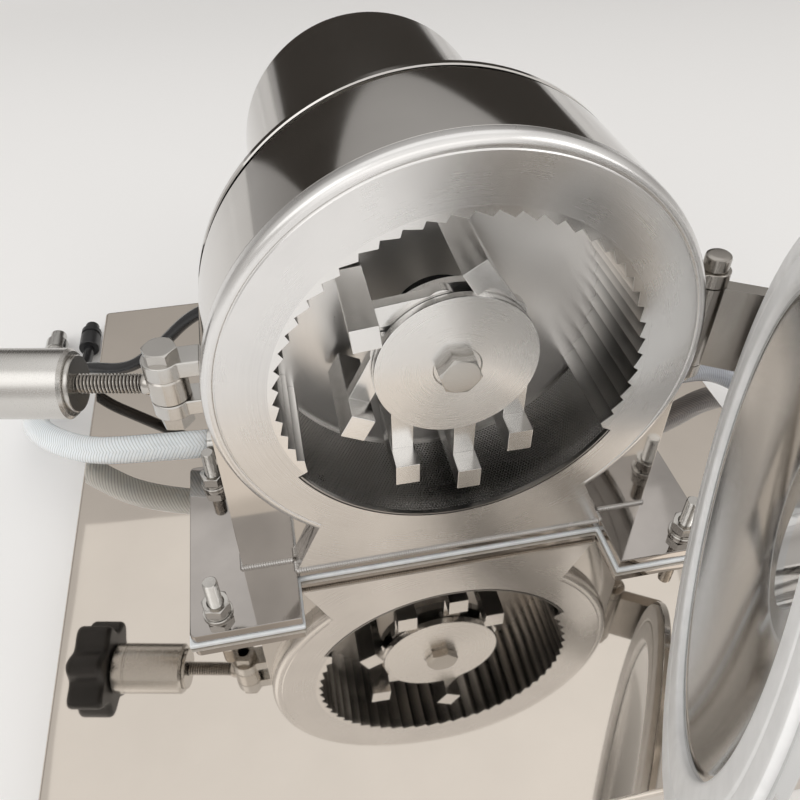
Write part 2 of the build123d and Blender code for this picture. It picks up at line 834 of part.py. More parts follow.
def make_door_shell():
    edge = door_gasket_inner - door_dish_inset
    inner_mid = (edge + door_boss_radius) / 2
    bow = 0.72 * door_dish_depth
    back = dish_bottom - door_dish_wall
    inner_arc = ThreePointArc((edge, door_inner_face), (inner_mid, door_inner_face - bow),
                              (door_boss_radius, dish_bottom))
    outer_arc = ThreePointArc((door_boss_radius, back),
                              (inner_mid + 1.2, door_inner_face - bow - door_dish_wall),
                              (edge + door_dish_wall, door_outer_face))
    lines = [Line((edge + door_dish_wall, door_outer_face), (door_radius, door_outer_face)),
             Line((door_radius, door_outer_face), (door_radius, door_inner_face)),
             Line((door_radius, door_inner_face), (edge, door_inner_face)),
             Line((door_boss_radius, dish_bottom), (0, dish_bottom)),
             Line((0, dish_bottom), (0, back)),
             Line((0, back), (door_boss_radius, back))]
    door = revolve(make_face([inner_arc, outer_arc] + lines), Axis.Y)
    return opened(door - feed_pipe(feed_radius - feed_wall))


def make_door_gasket():
    return opened(ring_y(door_gasket_outer, door_gasket_inner, door_inner_face, door_seal_face))


def make_door_lug():
    tip = swing_x - lug_tip
    length = lug_tip + swing_offset + lug_overlap
    plate = Pos(tip + length / 2, 0) * Rectangle(length, 2 * lug_half_height)
    plate = fillet(plate.vertices().sort_by(Axis.X)[:2], lug_half_height - lug_slot_half - 3.0)
    slot = Pos(swing_x, 0) * Circle(lug_slot_half)
    slot += Pos(swing_x - lug_tip / 2, 0) * Rectangle(lug_tip, 2 * lug_slot_half)
    return opened(along_y(plate - slot, door_outer_face - lug_thickness, door_outer_face))


# Feed hopper: a sloping pipe that bends upright, and the funnel welded on it
feed_axis = dish_bottom - feed_pipe_length * cos(radians(feed_rise_angle))
feed_bend = feed_pipe_length * sin(radians(feed_rise_angle))


def bent_pipe(radius):
    bend = Pos(0, feed_axis, feed_bend) * Sphere(radius)
    neck = along_z(Pos(0, feed_axis) * Circle(radius), feed_bend, funnel_foot)
    return feed_pipe(radius) + bend + neck


def make_feed_pipe():
    pipe = bent_pipe(feed_radius) - bent_pipe(feed_radius - feed_wall)
    size = 4 * funnel_radius
    outside = Box(size, size, size, align=(Align.CENTER, Align.MAX, Align.MAX))
    return opened(pipe & Pos(0, dish_bottom - door_dish_wall, funnel_foot) * outside)


def cone(foot, top):
    place = Pos(0, feed_axis)
    return loft([Plane.XY.offset(funnel_foot) * place * Circle(foot),
                 Plane.XY.offset(funnel_top) * place * Circle(top)])


def make_feed_funnel():
    return opened(cone(feed_radius, funnel_radius)
                  - cone(feed_radius - feed_wall, funnel_radius - feed_wall))


# Water fittings: an elbow in the back plate on each side, and the coupling at each hose's far end
def walked(start, steps, level):
    """The points of a route from its steps, none of them lower than the level that it lies on."""
    points = []
    for x, y, z in steps:
        height = level if z is None else max(start[2] + z, level)
        points.append((start[0] + x, start[1] + y, height))
    return points


def hose_route(side, steps):
    out = side * (housing_radius + hose_stand_off)
    start = (out, back_plate_back + elbow_setback, plate_top + hose_rise)
    return walked(start, steps, ground + hose_radius + hose_floor_gap)


def lead_route():
    """From the gland to the bed plate's left edge, over it and down to the ground."""
    reach = shroud_radius + gland_length
    start = (reach * gland_heading[0], gland_y, reach * gland_heading[2])
    edge = (-plate_width / 2, gland_y, plate_top)
    return walked(start, lead_steps, plate_top + lead_radius + lead_clearance) + walked(
        edge, lead_edge_steps, ground + connector_radius + hose_floor_gap)


def make_water_elbow(route):
    """An elbow whose branch lies in line with the first run of its hose."""
    end = Vector(*route[0])
    heading = (Vector(*route[1]) - end).normalized()
    corner = end - heading * elbow_branch
    nut_end = back_plate_back + elbow_nut
    place = Pos(corner.X, corner.Z)
    elbow = along_y(place * hexagon(elbow_nut_flats), back_plate_back, nut_end)
    elbow += along_y(place * Circle(elbow_radius), nut_end, corner.Y)
    elbow += Pos(*corner) * Sphere(elbow_radius)
    elbow += Plane(corner, z_dir=heading) * extrude(Circle(elbow_radius), amount=elbow_branch)
    return elbow + Plane(end, z_dir=heading) * extrude(Circle(ferrule_radius), amount=-ferrule_length)


def cord(route, radius):
    """A round cord along straight runs joined by arcs as large as the runs allow."""
    points = [Vector(*point) for point in route]
    radii = []
    for before, point, after in zip(points, points[1:], points[2:]):
        turn = (point - before).get_angle(after - point)
        run = min((point - before).length, (after - point).length)
        radii.append(0.45 * run / tan(radians(turn) / 2))
    path = FilletPolyline(*points, radius=radii)
    tube = sweep(Plane(path @ 0, z_dir=path % 0) * Circle(radius), path=path)
    print("cord", "length %.1f" % path.length, "radii", [round(value) for value in radii],
          "volume share %.4f" % (tube.volume / (3.14159 * radius ** 2 * path.length)))
    return tube


def make_hose_coupling(route):
    """A plain turned coupling that carries on in line with the hose."""
    end = Vector(*route[-1])
    plane = Plane(end, z_dir=end - Vector(*route[-2]))
    third = coupling_length / 3
    body = extrude(Circle(coupling_radius), amount=coupling_length - third)
    groove = extrude(Circle(coupling_radius) - Circle(coupling_radius - coupling_groove), amount=third / 3)
    body -= Pos(0, 0, third / 2) * groove
    body += extrude(Circle(coupling_nose), amount=coupling_length)
    return plane * body


# Motor lead: leaves the shroud by a gland, passes over the plate's left edge and ends in a connector
def make_lead_gland():
    direction = Vector(*gland_heading)
    seat = Plane(Vector(0, gland_y, 0) + direction * shroud_radius, z_dir=direction)
    nut = extrude(hexagon(2 * gland_radius), amount=gland_length / 2)
    cone = Pos(0, 0, gland_length / 2) * Cone(0.9 * gland_radius, lead_radius + 1.0, gland_length / 2,
                                              align=(Align.CENTER, Align.CENTER, Align.MIN))
    return seat * (nut + cone)


def make_lead_connector():
    """A plain round connector that carries on in line with the lead."""
    end = Vector(*lead_route()[-1])
    plane = Plane(end, z_dir=end - Vector(*lead_route()[-2]))
    body = extrude(Circle(connector_radius), amount=connector_length * 0.75)
    groove = extrude(Circle(connector_radius) - Circle(connector_radius - connector_groove), amount=3.0)
    body -= Pos(0, 0, connector_length / 2) * groove
    return plane * (body + extrude(Circle(connector_nose), amount=connector_length))


left_hose_route = hose_route(-1, left_hose_steps)
right_hose_route = hose_route(1, right_hose_steps)

nodes = {
    "bed_plate": make_bed_plate(),
    "bed_skirt": make_bed_skirt(),
    "outlet_collar": make_outlet_collar(),
    "base_gasket": make_base_layer(gasket_proud, plate_top, base_bottom),
    "base_flange": make_base_layer(0, base_bottom, base_top),
    "base_studs": make_base_studs(),
    "base_washers": make_base_washers(),
    "base_spring_washers": make_base_spring_washers(),
    "base_nuts": make_base_nuts(),
    "housing_shell": make_housing_shell(),
    "front_ring": make_front_ring(),
    "back_plate": make_back_plate(),
    "chamber_sleeve": make_chamber_sleeve(),
    "toothed_liner": make_toothed_liner(),
    "screen": make_screen(),
    "rotor_front_disc": make_rotor_front_disc(),
    "rotor_rear_disc": make_rotor_rear_disc(),
    "hammer_pins": make_hammer_pins(),
    "rotor_bolt": make_rotor_bolt(),
    "drive_shaft": make_drive_shaft(),
    "shaft_seal": make_shaft_seal(),
    "front_bearing": make_bearing(front_bearing_radius, front_journal + running_fit,
                                  front_bearing_start, front_bearing_end),
    "rear_bearing": make_bearing(rear_bearing_radius, rear_journal + running_fit,
                                 rear_bearing_start, rear_bearing_end),
    "rear_flange": make_rear_flange(),
    "motor_front_shield": make_motor_front_shield(),
    "motor_rear_shield": make_motor_rear_shield(),
    "motor_shroud": make_motor_shroud(),
    "stator_core": make_stator_core(),
    "stator_windings": make_stator_windings(),
    "rotor_core": make_rotor_core(),
    "motor_saddle": make_motor_saddle(),
    "saddle_bolts": make_saddle_bolts(),
    "bolt_clevis": make_bolt_clevis(),
    "swing_pivot": make_swing_pivot(),
    "swing_bolt": make_swing_bolt(),
    "clamp_washer": make_clamp_washer(),
    "clamp_sleeve": make_clamp_sleeve(),
    "star_knob": make_star_knob(),
    "hinge_ears": make_hinge_ears(),
    "hinge_pin": make_hinge_pin(),
    "door_hinge_arm": make_door_hinge_arm(),
    "door_shell": make_door_shell(),
    "door_gasket": make_door_gasket(),
    "door_lug": make_door_lug(),
    "feed_pipe": make_feed_pipe(),
    "feed_funnel": make_feed_funnel(),
    "water_elbows": [make_water_elbow(left_hose_route), make_water_elbow(right_hose_route)],
    "water_hose_left": cord(left_hose_route, hose_radius),
    "water_hose_right": cord(right_hose_route, hose_radius),
    "hose_coupling_left": make_hose_coupling(left_hose_route),
    "hose_coupling_right": make_hose_coupling(right_hose_route),
    "lead_gland": make_lead_gland(),
    "motor_lead": cord(lead_route(), lead_radius),
    "lead_connector": make_lead_connector(),
}
for index, (pin_angle, hang_angle) in enumerate(zip(pin_angles, hammer_hang_angles), start=1):
    nodes["hammer_%d" % index] = make_hammer(pin_angle, hang_angle)

# Standing place: the middle of the powder outlet, level with the ground, is the origin
os.makedirs("parts", exist_ok=True)
stand = Pos(0, -chute_middle, -ground)
for name, piece in nodes.items():
    solids = piece if isinstance(piece, list) else [piece]
    export_step(Compound(children=[stand * solid for solid in solids]), "parts/%s.step" % name)
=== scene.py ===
"""Sugar grinding machine: a swing-hammer mill on a polished bed plate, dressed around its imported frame.

Metres. X is to the right, Y to the back and Z up from the floor; the drum axis runs along Y.
"""
import math

import bmesh
import bpy
from mathutils import Matrix, Vector


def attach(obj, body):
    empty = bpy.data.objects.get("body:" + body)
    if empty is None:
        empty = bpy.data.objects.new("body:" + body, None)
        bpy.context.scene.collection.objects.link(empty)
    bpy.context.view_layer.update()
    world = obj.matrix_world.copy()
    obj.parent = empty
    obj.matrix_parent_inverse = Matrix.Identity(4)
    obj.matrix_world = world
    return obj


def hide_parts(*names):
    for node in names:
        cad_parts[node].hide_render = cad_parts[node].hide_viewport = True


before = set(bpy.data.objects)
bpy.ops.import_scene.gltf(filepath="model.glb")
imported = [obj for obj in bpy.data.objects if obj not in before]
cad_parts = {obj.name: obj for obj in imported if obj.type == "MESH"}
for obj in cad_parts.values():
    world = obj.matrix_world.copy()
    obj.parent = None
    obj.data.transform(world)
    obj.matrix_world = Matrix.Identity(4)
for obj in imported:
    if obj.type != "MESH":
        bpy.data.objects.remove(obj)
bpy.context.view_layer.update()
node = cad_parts

# The room: a pale seamless floor, soft boxes to the left, to the right, in front and above, and behind it all
# a dark flag that only the polished steel sees. The camera stands in front of the drum, a little to its left,
# and looks down on it.
bpy.context.scene.view_settings.view_transform = "Standard"


def fresh():
    """Nothing selected, so that the next operator acts on the new piece alone."""
    bpy.ops.object.select_all(action="DESELECT")


def fix_place():
    """Put the selected piece's place, turn and scale into its mesh."""
    bpy.ops.object.transform_apply(location=True, rotation=True, scale=True)


def new_material(name):
    """A material with an empty principled shader, and its node tree."""
    material = bpy.data.materials.new(name)
    material.use_nodes = True
    return material, material.node_tree, material.node_tree.nodes["Principled BSDF"]


def plug(tree, made, inputs):
    """Set a node's sockets to values, or join them to other sockets."""
    for key, value in inputs.items():
        if isinstance(value, bpy.types.NodeSocket):
            tree.links.new(value, made.inputs[key])
        else:
            made.inputs[key].default_value = value
    return made


def add(tree, kind, inputs, **settings):
    """One node with its settings, plugged in."""
    made = tree.nodes.new(kind)
    for key, value in settings.items():
        setattr(made, key, value)
    return plug(tree, made, inputs)


def maths(tree, operation, *values):
    """One step of arithmetic on numbers or sockets."""
    return add(tree, "ShaderNodeMath", dict(enumerate(values)), operation=operation).outputs[0]


def opaque(value):
    """A colour, or a grey given as one number, with full cover; a socket stays as it is."""
    if isinstance(value, bpy.types.NodeSocket):
        return value
    return (*value, 1.0) if isinstance(value, tuple) else (value, value, value, 1.0)


def ramp(tree, share, stops):
    """A colour ramp over (place, value) or (place, colour) stops."""
    made = add(tree, "ShaderNodeValToRGB", {"Fac": share})
    band = made.color_ramp.elements
    while len(band) < len(stops):
        band.new(0.5)
    for element, (place, value) in zip(band, stops):
        element.position = place
        element.color = opaque(value)
    return made.outputs["Color"]


def card(name, place, size, colour):
    """A flat matt studio card, facing up."""
    fresh()
    bpy.ops.mesh.primitive_plane_add(size=1.0, location=place)
    sheet_card = bpy.context.object
    sheet_card.name = name
    sheet_card.scale = (*size, 1.0)
    fix_place()
    paint, tree, shader = new_material(name)
    plug(tree, shader, {"Base Color": opaque(colour), "Roughness": 0.9, "Specular IOR Level": 0.1})
    sheet_card.data.materials.append(paint)
    return sheet_card


floor_gap = 0.0006
card("studio_floor", (0.0, 2.0, -floor_gap), (14.0, 14.0), (0.9, 0.895, 0.89))
flag = card("studio_flag", (0.0, 0.0, 0.0), (2.6, 0.75), (0.05, 0.045, 0.04))
flag.data.transform(Matrix.Translation((0.35, 1.9, 0.72)) @ Matrix.Rotation(math.pi / 2, 4, "X"))
flag.visible_camera = False

room = bpy.data.worlds.new("studio_room")
room.use_nodes = True
bpy.context.scene.world = room
room_tree = room.node_tree
room_heading = add(room_tree, "ShaderNodeTexCoord", {}).outputs["Generated"]
room_place = add(room_tree, "ShaderNodeSeparateXYZ", {"Vector": room_heading}).outputs
room_tones = [(0.0, (0.66, 0.64, 0.62)), (0.2, (0.48, 0.46, 0.44)), (0.5, (0.77, 0.75, 0.725)),
              (0.72, (0.95, 0.93, 0.905)), (1.0, (0.97, 0.955, 0.935))]
back_dims, room_light = -0.3, 0.88
plug(room_tree, room_tree.nodes["Background"],
     {"Color": ramp(room_tree, room_place["Z"], room_tones),
      "Strength": maths(room_tree, "MULTIPLY_ADD", room_place["Y"], back_dims, room_light)})


def soft_box(name, place, target, size, power, mirrored=True):
    """A square lamp turned to a target; it may light the steel without being mirrored in it."""
    lamp = bpy.data.lights.new(name, "AREA")
    lamp.shape = "RECTANGLE"
    lamp.size, lamp.size_y = size
    lamp.energy = power
    stand = bpy.data.objects.new(name, lamp)
    bpy.context.scene.collection.objects.link(stand)
    stand.visible_glossy = mirrored
    stand.location = place
    stand.rotation_euler = (Vector(target) - Vector(place)).to_track_quat("-Z", "Y").to_euler()


left_window = ((-1.6, -0.9, 1.9), (0.0, 0.0, 0.15), (1.2, 1.6))
soft_box("window_left", *left_window, 4.0)
soft_box("fill_left", *left_window, 10.0, mirrored=False)
soft_box("window_right", (1.5, -1.3, 1.3), (0.0, 0.0, 0.2), (0.5, 1.4), 4.0)
soft_box("window_front", (-0.2, -2.0, 1.05), (0.0, 0.0, 0.25), (2.2, 1.7), 5.0)
soft_box("ceiling", (0.1, 0.9, 2.6), (0.0, 0.1, 0.2), (2.6, 2.0), 5.0)

camera_place = (-0.10145, -0.36459, 0.51346)
camera_yaw = 0.193577
camera_pitch = 0.742635
camera_roll = 0.006855
camera_data = bpy.data.cameras.new("photo_camera")
camera_data.lens = 34.345
camera_data.sensor_width = 36.0
camera_data.clip_start = 0.02
camera = bpy.data.objects.new("photo_camera", camera_data)
bpy.context.scene.collection.objects.link(camera)
camera.matrix_world = (Matrix.Translation(camera_place) @ Matrix.Rotation(-camera_yaw, 4, "Z")
                       @ Matrix.Rotation(math.pi / 2 - camera_pitch, 4, "X")
                       @ Matrix.Rotation(-camera_roll, 4, "Z"))
bpy.context.scene.camera = camera

# Bed plate: one sheet of stainless steel with its four edges folded down, polished like a mirror.
# The powder chute passes through the opening under the drum.
plate_top = 0.050
plate_half = 0.275
plate_front = -0.227
plate_back = 0.323
sheet = 0.003
plate_corner, plate_fold = 0.004, 0.003
chute_half = (0.1044, 0.0285)


def pick(kind, test):
    """In edit mode, select the verts, edges or faces that pass a test."""
    bpy.ops.mesh.select_mode(type={"verts": "VERT", "edges": "EDGE", "faces": "FACE"}[kind])
    bpy.ops.mesh.select_all(action="DESELECT")
    mesh = bmesh.from_edit_mesh(bpy.context.object.data)
    for item in getattr(mesh, kind):
        item.select_set(bool(test(item)))
    mesh.select_flush_mode()
    bmesh.update_edit_mesh(bpy.context.object.data)


def middle(item):
    """The middle of an edge or face."""
    return sum((vert.co for vert in item.verts), Vector()) / len(item.verts)


def edit():
    bpy.ops.object.mode_set(mode="EDIT")


def done():
    bpy.ops.object.mode_set(mode="OBJECT")


def modify(piece, kind, **settings):
    """Add a modifier, set it and apply it."""
    bpy.context.view_layer.objects.active = piece
    made = piece.modifiers.new(kind.lower(), kind)
    for key, value in settings.items():
        setattr(made, key, value)
    bpy.ops.object.modifier_apply(modifier=made.name)


def settle(piece, name, smooth=32.0):
    """Name a finished piece, put its place in its mesh and shade it smooth up to an angle."""
    fresh()
    piece.select_set(True)
    bpy.context.view_layer.objects.active = piece
    fix_place()
    bpy.ops.object.shade_smooth_by_angle(angle=math.radians(smooth))
    modify(piece, "WEIGHTED_NORMAL", keep_sharp=True, weight=100)
    piece.name = name
    piece.data.name = name
    return piece


def dress(piece, material, body, slot, *stands_for):
    """Give a piece its material and its body, and hide the frame nodes that it stands for; its slot is not
    used.
    """
    piece.data.materials.clear()
    piece.data.materials.append(material)
    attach(piece, body)
    if stands_for:
        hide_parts(*stands_for)
    return piece


def place_on_piece(tree, centre=(0.0, 0.0, 0.0), tilt=(0.0, 0.0, 0.0)):
    """Object coordinates, centred on a piece and turned with it."""
    seen = add(tree, "ShaderNodeTexCoord", {}).outputs["Object"]
    return add(tree, "ShaderNodeMapping", {"Vector": seen, "Location": centre, "Rotation": tilt},
               vector_type="TEXTURE").outputs["Vector"]


def mix(tree, first, second, share):
    """Two colours mixed by a share."""
    made = add(tree, "ShaderNodeMix", {6: opaque(first), 7: opaque(second), 0: share}, data_type="RGBA")
    return made.outputs[2]


def shaded(colour, share):
    """A share of a colour."""
    return tuple(part * share for part in colour)


def noise(tree, place, scale, detail=2.0, stretch=(1.0, 1.0, 1.0)):
    """Soft clouds, stretched where they should run."""
    pulled = add(tree, "ShaderNodeVectorMath", {0: place, 1: stretch}, operation="MULTIPLY").outputs[0]
    clouds = add(tree, "ShaderNodeTexNoise", {"Vector": pulled, "Scale": scale, "Detail": detail})
    return clouds.outputs["Fac"]


def relief(tree, shader, height, depth, strength=1.0):
    """Low marks that only the light shows."""
    bump = add(tree, "ShaderNodeBump", {"Height": height, "Strength": strength, "Distance": depth})
    plug(tree, shader, {"Normal": bump.outputs["Normal"]})


def steel(name, colour, rough, marks=None, pitch=0.0006, depth=0.00002, spread=0.1, haze=0.05,
          stain=0.12, wave=0.0, centre=(0.0, 0.0, 0.0), tilt=(0.0, 0.0, 0.0)):
    """Stainless steel: its tone and gloss drift with handling, over tool marks of a given pitch."""
    material, tree, shader = new_material(name)
    place = place_on_piece(tree, centre, tilt)
    cloud = noise(tree, place, 14.0, 4.0)
    smear = noise(tree, place, 38.0, 3.0, (1.0, 0.5, 1.0))
    tone = ramp(tree, cloud, [(0.3, shaded(colour, 1.0 - stain)), (0.7, colour)])
    if marks:
        lines = marks(tree, place, pitch)
        tone = mix(tree, tone, shaded(colour, 1.0 - spread), lines)
        gloss = maths(tree, "MULTIPLY_ADD", lines, spread, rough)
        relief(tree, shader, lines, depth)
    else:
        gloss = maths(tree, "MULTIPLY_ADD", maths(tree, "SUBTRACT", cloud, 0.5), haze, rough)
        if wave:
            relief(tree, shader, noise(tree, place, 5.0, 1.0), wave)
    streak = maths(tree, "MULTIPLY", maths(tree, "SUBTRACT", smear, 0.5), 0.4 * haze)
    plug(tree, shader, {"Base Color": tone, "Metallic": 1.0, "Roughness": maths(tree, "ADD", gloss, streak)})
    return material


fresh()
bpy.ops.mesh.primitive_cube_add(size=1.0, location=(0.0, (plate_front + plate_back) / 2, plate_top / 2))
plate = bpy.context.object
plate.scale = (2 * plate_half, plate_back - plate_front, plate_top)
fix_place()
edit()
pick("edges", lambda edge: abs(edge.verts[0].co.z - edge.verts[1].co.z) > 0.01)
bpy.ops.mesh.bevel(offset=plate_corner, segments=5, affect="EDGES")
pick("faces", lambda face: face.normal.z < -0.9)
bpy.ops.mesh.delete(type="FACE")
pick("edges", lambda edge: min(vert.co.z for vert in edge.verts) > plate_top - 0.0001)
bpy.ops.mesh.bevel(offset=plate_fold, segments=4, affect="EDGES")
for line, side in (((1, 0, 0), chute_half[0]), ((0, 1, 0), chute_half[1])):
    for sign in (-1, 1):
        bpy.ops.mesh.select_all(action="SELECT")
        bpy.ops.mesh.bisect(plane_co=Vector(line) * side * sign, plane_no=line)
pick("faces", lambda face: face.normal.z > 0.9 and abs(middle(face).x) < chute_half[0]
     and abs(middle(face).y) < chute_half[1])
bpy.ops.mesh.delete(type="FACE")
done()
modify(plate, "SOLIDIFY", thickness=sheet, offset=-1.0, use_even_offset=True)
settle(plate, "plate_sheet")
mirror_warm = steel("bed_plate_mirror", (0.66, 0.6, 0.535), 0.03, haze=0.03, stain=0.07, wave=0.0008)
dress(plate, mirror_warm, "frame", "polished_steel", "bed_plate", "bed_skirt")

# Base: a silicone gasket and a thick flange with two feet, cut from plate and welded under the housing.
# Four studs come up through the bed plate; each foot is held by washers, spring washers and nuts.
foot_outer = 0.187
foot_inner = 0.113
foot_front = -0.080
foot_back = 0.073
notch_back = -0.042
foot_corner = 0.004
gasket_spill = 0.0015
gasket_gap = 0.0001
gasket_top = 0.054
flange_top = 0.062
stud_places = [(x, y) for x in (-0.168, 0.168) for y in (-0.064, 0.053)]


def trace(points, closed=False):
    """A line of edges from point to point, started from a plane drawn together into one vertex."""
    fresh()
    bpy.ops.mesh.primitive_plane_add(size=0.01)
    edit()
    bpy.ops.mesh.select_mode(type="VERT")
    bpy.ops.mesh.select_all(action="SELECT")
    bpy.ops.mesh.merge(type="CENTER")
    bpy.ops.transform.translate(value=points[0])
    for before, after in zip(points, points[1:]):
        step = tuple(Vector(after) - Vector(before))
        bpy.ops.mesh.extrude_region_move(TRANSFORM_OT_translate={"value": step})
    if closed:
        mesh = bmesh.from_edit_mesh(bpy.context.object.data)
        mesh.verts.ensure_lookup_table()
        bpy.ops.mesh.select_all(action="DESELECT")
        mesh.verts[0].select_set(True)
        mesh.verts[len(mesh.verts) - 1].select_set(True)
        bpy.ops.mesh.edge_face_add()
    return bpy.context.object


def face_out():
    """In edit mode, turn all faces outwards."""
    bpy.ops.mesh.select_all(action="SELECT")
    bpy.ops.mesh.normals_make_consistent(inside=False)


def merge_seams(threshold):
    """In edit mode, join vertices that lie on each other."""
    bpy.ops.mesh.select_mode(type="VERT")
    bpy.ops.mesh.select_all(action="SELECT")
    bpy.ops.mesh.remove_doubles(threshold=threshold)


def close_up(seam=0.0):
    """Join a new piece's seams, close its open ends and turn its faces outwards."""
    edit()
    if seam:
        merge_seams(seam)
    bpy.ops.mesh.select_all(action="SELECT")
    bpy.ops.mesh.fill_holes(sides=0)
    face_out()
    done()


def slab(points, thickness):
    """A flat outline filled and pushed up to a thickness along a vector."""
    piece = trace(points)
    bpy.ops.mesh.select_all(action="SELECT")
    bpy.ops.mesh.edge_face_add()
    bpy.ops.mesh.extrude_region_move(TRANSFORM_OT_translate={"value": thickness})
    face_out()
    done()
    return piece


def spun(points, steps, axis=(0, 0, 1), centre=(0, 0, 0), angle=2 * math.pi, closed=False):
    """A line of points spun about an axis."""
    piece = trace(points, closed)
    bpy.ops.mesh.select_all(action="SELECT")
    bpy.ops.mesh.spin(steps=steps, angle=angle, center=centre, axis=axis)
    merge_seams(0.000005)
    face_out()
    done()
    return piece


def turn(profile, steps, closed=False):
    """A profile of (radius, height) points turned about Z."""
    return spun([(radius, 0, height) for radius, height in profile], steps, closed=closed)


def combine(piece, tool, operation):
    """Cut, add or intersect a piece with a tool, which is used up."""
    modify(piece, "BOOLEAN", operation=operation, object=tool, solver="EXACT")
    bpy.data.objects.remove(tool)
    return piece


def soften(piece, width, segments=2, angle=30.0):
    """Break the sharp edges."""
    modify(piece, "BEVEL", width=width, segments=segments, limit_method="ANGLE",
           angle_limit=math.radians(angle), use_clamp_overlap=True, miter_outer="MITER_ARC")


def twin(piece, move):
    """A copy of a piece with its own mesh, moved by a matrix."""
    made = piece.copy()
    made.data = piece.data.copy()
    made.data.transform(move)
    bpy.context.scene.collection.objects.link(made)
    return made


def joined(pieces):
    """Several pieces made one."""
    fresh()
    for piece in pieces:
        piece.select_set(True)
    bpy.context.view_layer.objects.active = pieces[0]
    bpy.ops.object.join()
    return pieces[0]


def copies(piece, moves, name):
    """The piece once for each matrix, joined into one."""
    made = [twin(piece, move) for move in moves]
    bpy.data.objects.remove(piece)
    return settle(joined(made), name)


def base_outline(proud, z):
    """The base seen from above, standing proud of its own edge by a margin."""
    outer, inner = foot_outer + proud, foot_inner - proud
    front, back, notch = foot_front - proud, foot_back + proud, notch_back - proud
    return [(-outer, front, z), (-inner, front, z), (-inner, notch, z), (inner, notch, z),
            (inner, front, z), (outer, front, z), (outer, back, z), (-outer, back, z)]


def silicone(name, colour):
    """Soft white rubber: a milky skin, a little uneven."""
    material, tree, shader = new_material(name)
    place = place_on_piece(tree)
    milky = ramp(tree, noise(tree, place, 60.0, 4.0), [(0.3, shaded(colour, 0.9)), (0.62, colour)])
    plug(tree, shader, {"Base Color": milky, "Roughness": 0.5, "Subsurface Weight": 0.12,
                        "Subsurface Radius": (0.004, 0.004, 0.004)})
    relief(tree, shader, noise(tree, place, 700.0), 0.0001, 0.4)
    return material


white_rubber = silicone("white_silicone", (0.82, 0.85, 0.87))
gasket_height = gasket_top - plate_top - 2 * gasket_gap
gasket = slab(base_outline(gasket_spill, plate_top + gasket_gap), (0, 0, gasket_height))
soften(gasket, 0.0011, 3)
settle(gasket, "base_gasket_pad")
dress(gasket, white_rubber, "frame", "white_silicone", "base_gasket")

flange = slab(base_outline(0.0, gasket_top), (0, 0, flange_top - gasket_top))
edit()
pick("edges", lambda edge: abs(edge.verts[0].co.z - edge.verts[1].co.z) > 0.001
     and abs(middle(edge).x) > foot_outer - 0.001)
bpy.ops.mesh.bevel(offset=foot_corner, segments=5, affect="EDGES")
done()
soften(flange, 0.0008, 2)
settle(flange, "base_flange_plate")
bright_plate = steel("flange_polished", (0.46, 0.43, 0.405), 0.06, haze=0.1, stain=0.28, wave=0.0008)
dress(flange, bright_plate, "frame", "satin_steel", "base_flange")


def hexagon_head(flats, low, high, foot_share=0.48):
    """A hexagon bar along Z with its corners turned off at the top, and at the foot by a share of that."""
    corner = flats / math.sqrt(3)
    fresh()
    bpy.ops.mesh.primitive_cylinder_add(vertices=6, radius=corner, depth=high - low,
                                        location=(0, 0, (low + high) / 2))
    head = bpy.context.object
    fix_place()
    clear = corner + 0.0002
    flat = flats * 0.47
    drop = (clear - flat) * 0.5
    foot, crown = low - 0.0001, high + 0.00005
    rounder = turn([(0, foot), (flat, foot), (clear, low + drop * foot_share), (clear, high - drop),
                    (flat, crown), (0, crown)], 72)
    return combine(head, rounder, "INTERSECT")


thread_depth = 0.58
thread_crest = (0.44, 0.56)


def thread(radius, pitch, low, high):
    """A rolled thread along Z with turned-down ends: one pitch of its profile, swept by a screw."""
    root = radius - thread_depth * pitch
    start = low - 1.5 * pitch
    crest = [start + share * pitch for share in thread_crest]
    wire = trace([(root, 0, start), (radius, 0, crest[0]), (radius, 0, crest[1]), (root, 0, start + pitch)])
    done()
    modify(wire, "SCREW", angle=2 * math.pi, screw_offset=pitch, steps=20, render_steps=20,
           iterations=math.ceil((high - low) / pitch) + 2)
    close_up(0.00001)
    lead_in = radius - root
    blank = turn([(0, low), (root, low), (radius, low + lead_in), (radius, high - lead_in), (root, high),
                  (0, high)], 40)
    return combine(wire, blank, "INTERSECT")


def ring(inner, outer, low, high, edge, steps=48):
    """A turned ring along Z with broken edges."""
    return turn([(inner, low), (outer - edge, low), (outer, low + edge), (outer, high - edge),
                 (outer - edge, high), (inner, high)], steps, closed=True)


first_turn, next_turn = 0.3, 1.1


def at(places):
    """A matrix for each place on the plate, each fastener left at a turn of its own."""
    return [Matrix.Translation((x, y, 0.0)) @ Matrix.Rotation(first_turn + next_turn * index, 4, "Z")
            for index, (x, y) in enumerate(places)]


stud_radius, stud_pitch = 0.005, 0.0015
stud_low, stud_high = 0.047, 0.097
washer_bore, washer_radius = 0.0053, 0.010
spring_radius, spring_gap = 0.0088, 0.0006
nut_bore, nut_mouth = 0.0051, 0.0062
washer_top = flange_top + 0.002
spring_top = washer_top + 0.0025
nut_top = spring_top + 0.008
bolt_steel = steel("bolt_steel", (0.62, 0.6, 0.57), 0.22, haze=0.16, stain=0.2)
studs = copies(thread(stud_radius, stud_pitch, stud_low, stud_high), at(stud_places), "base_stud_threads")
dress(studs, bolt_steel, "frame", "satin_steel", "base_studs")
washer = ring(washer_bore, washer_radius, flange_top, washer_top, 0.0003)
washers = copies(washer, at(stud_places), "base_flat_washers")
dress(washers, bolt_steel, "frame", "satin_steel", "base_washers")

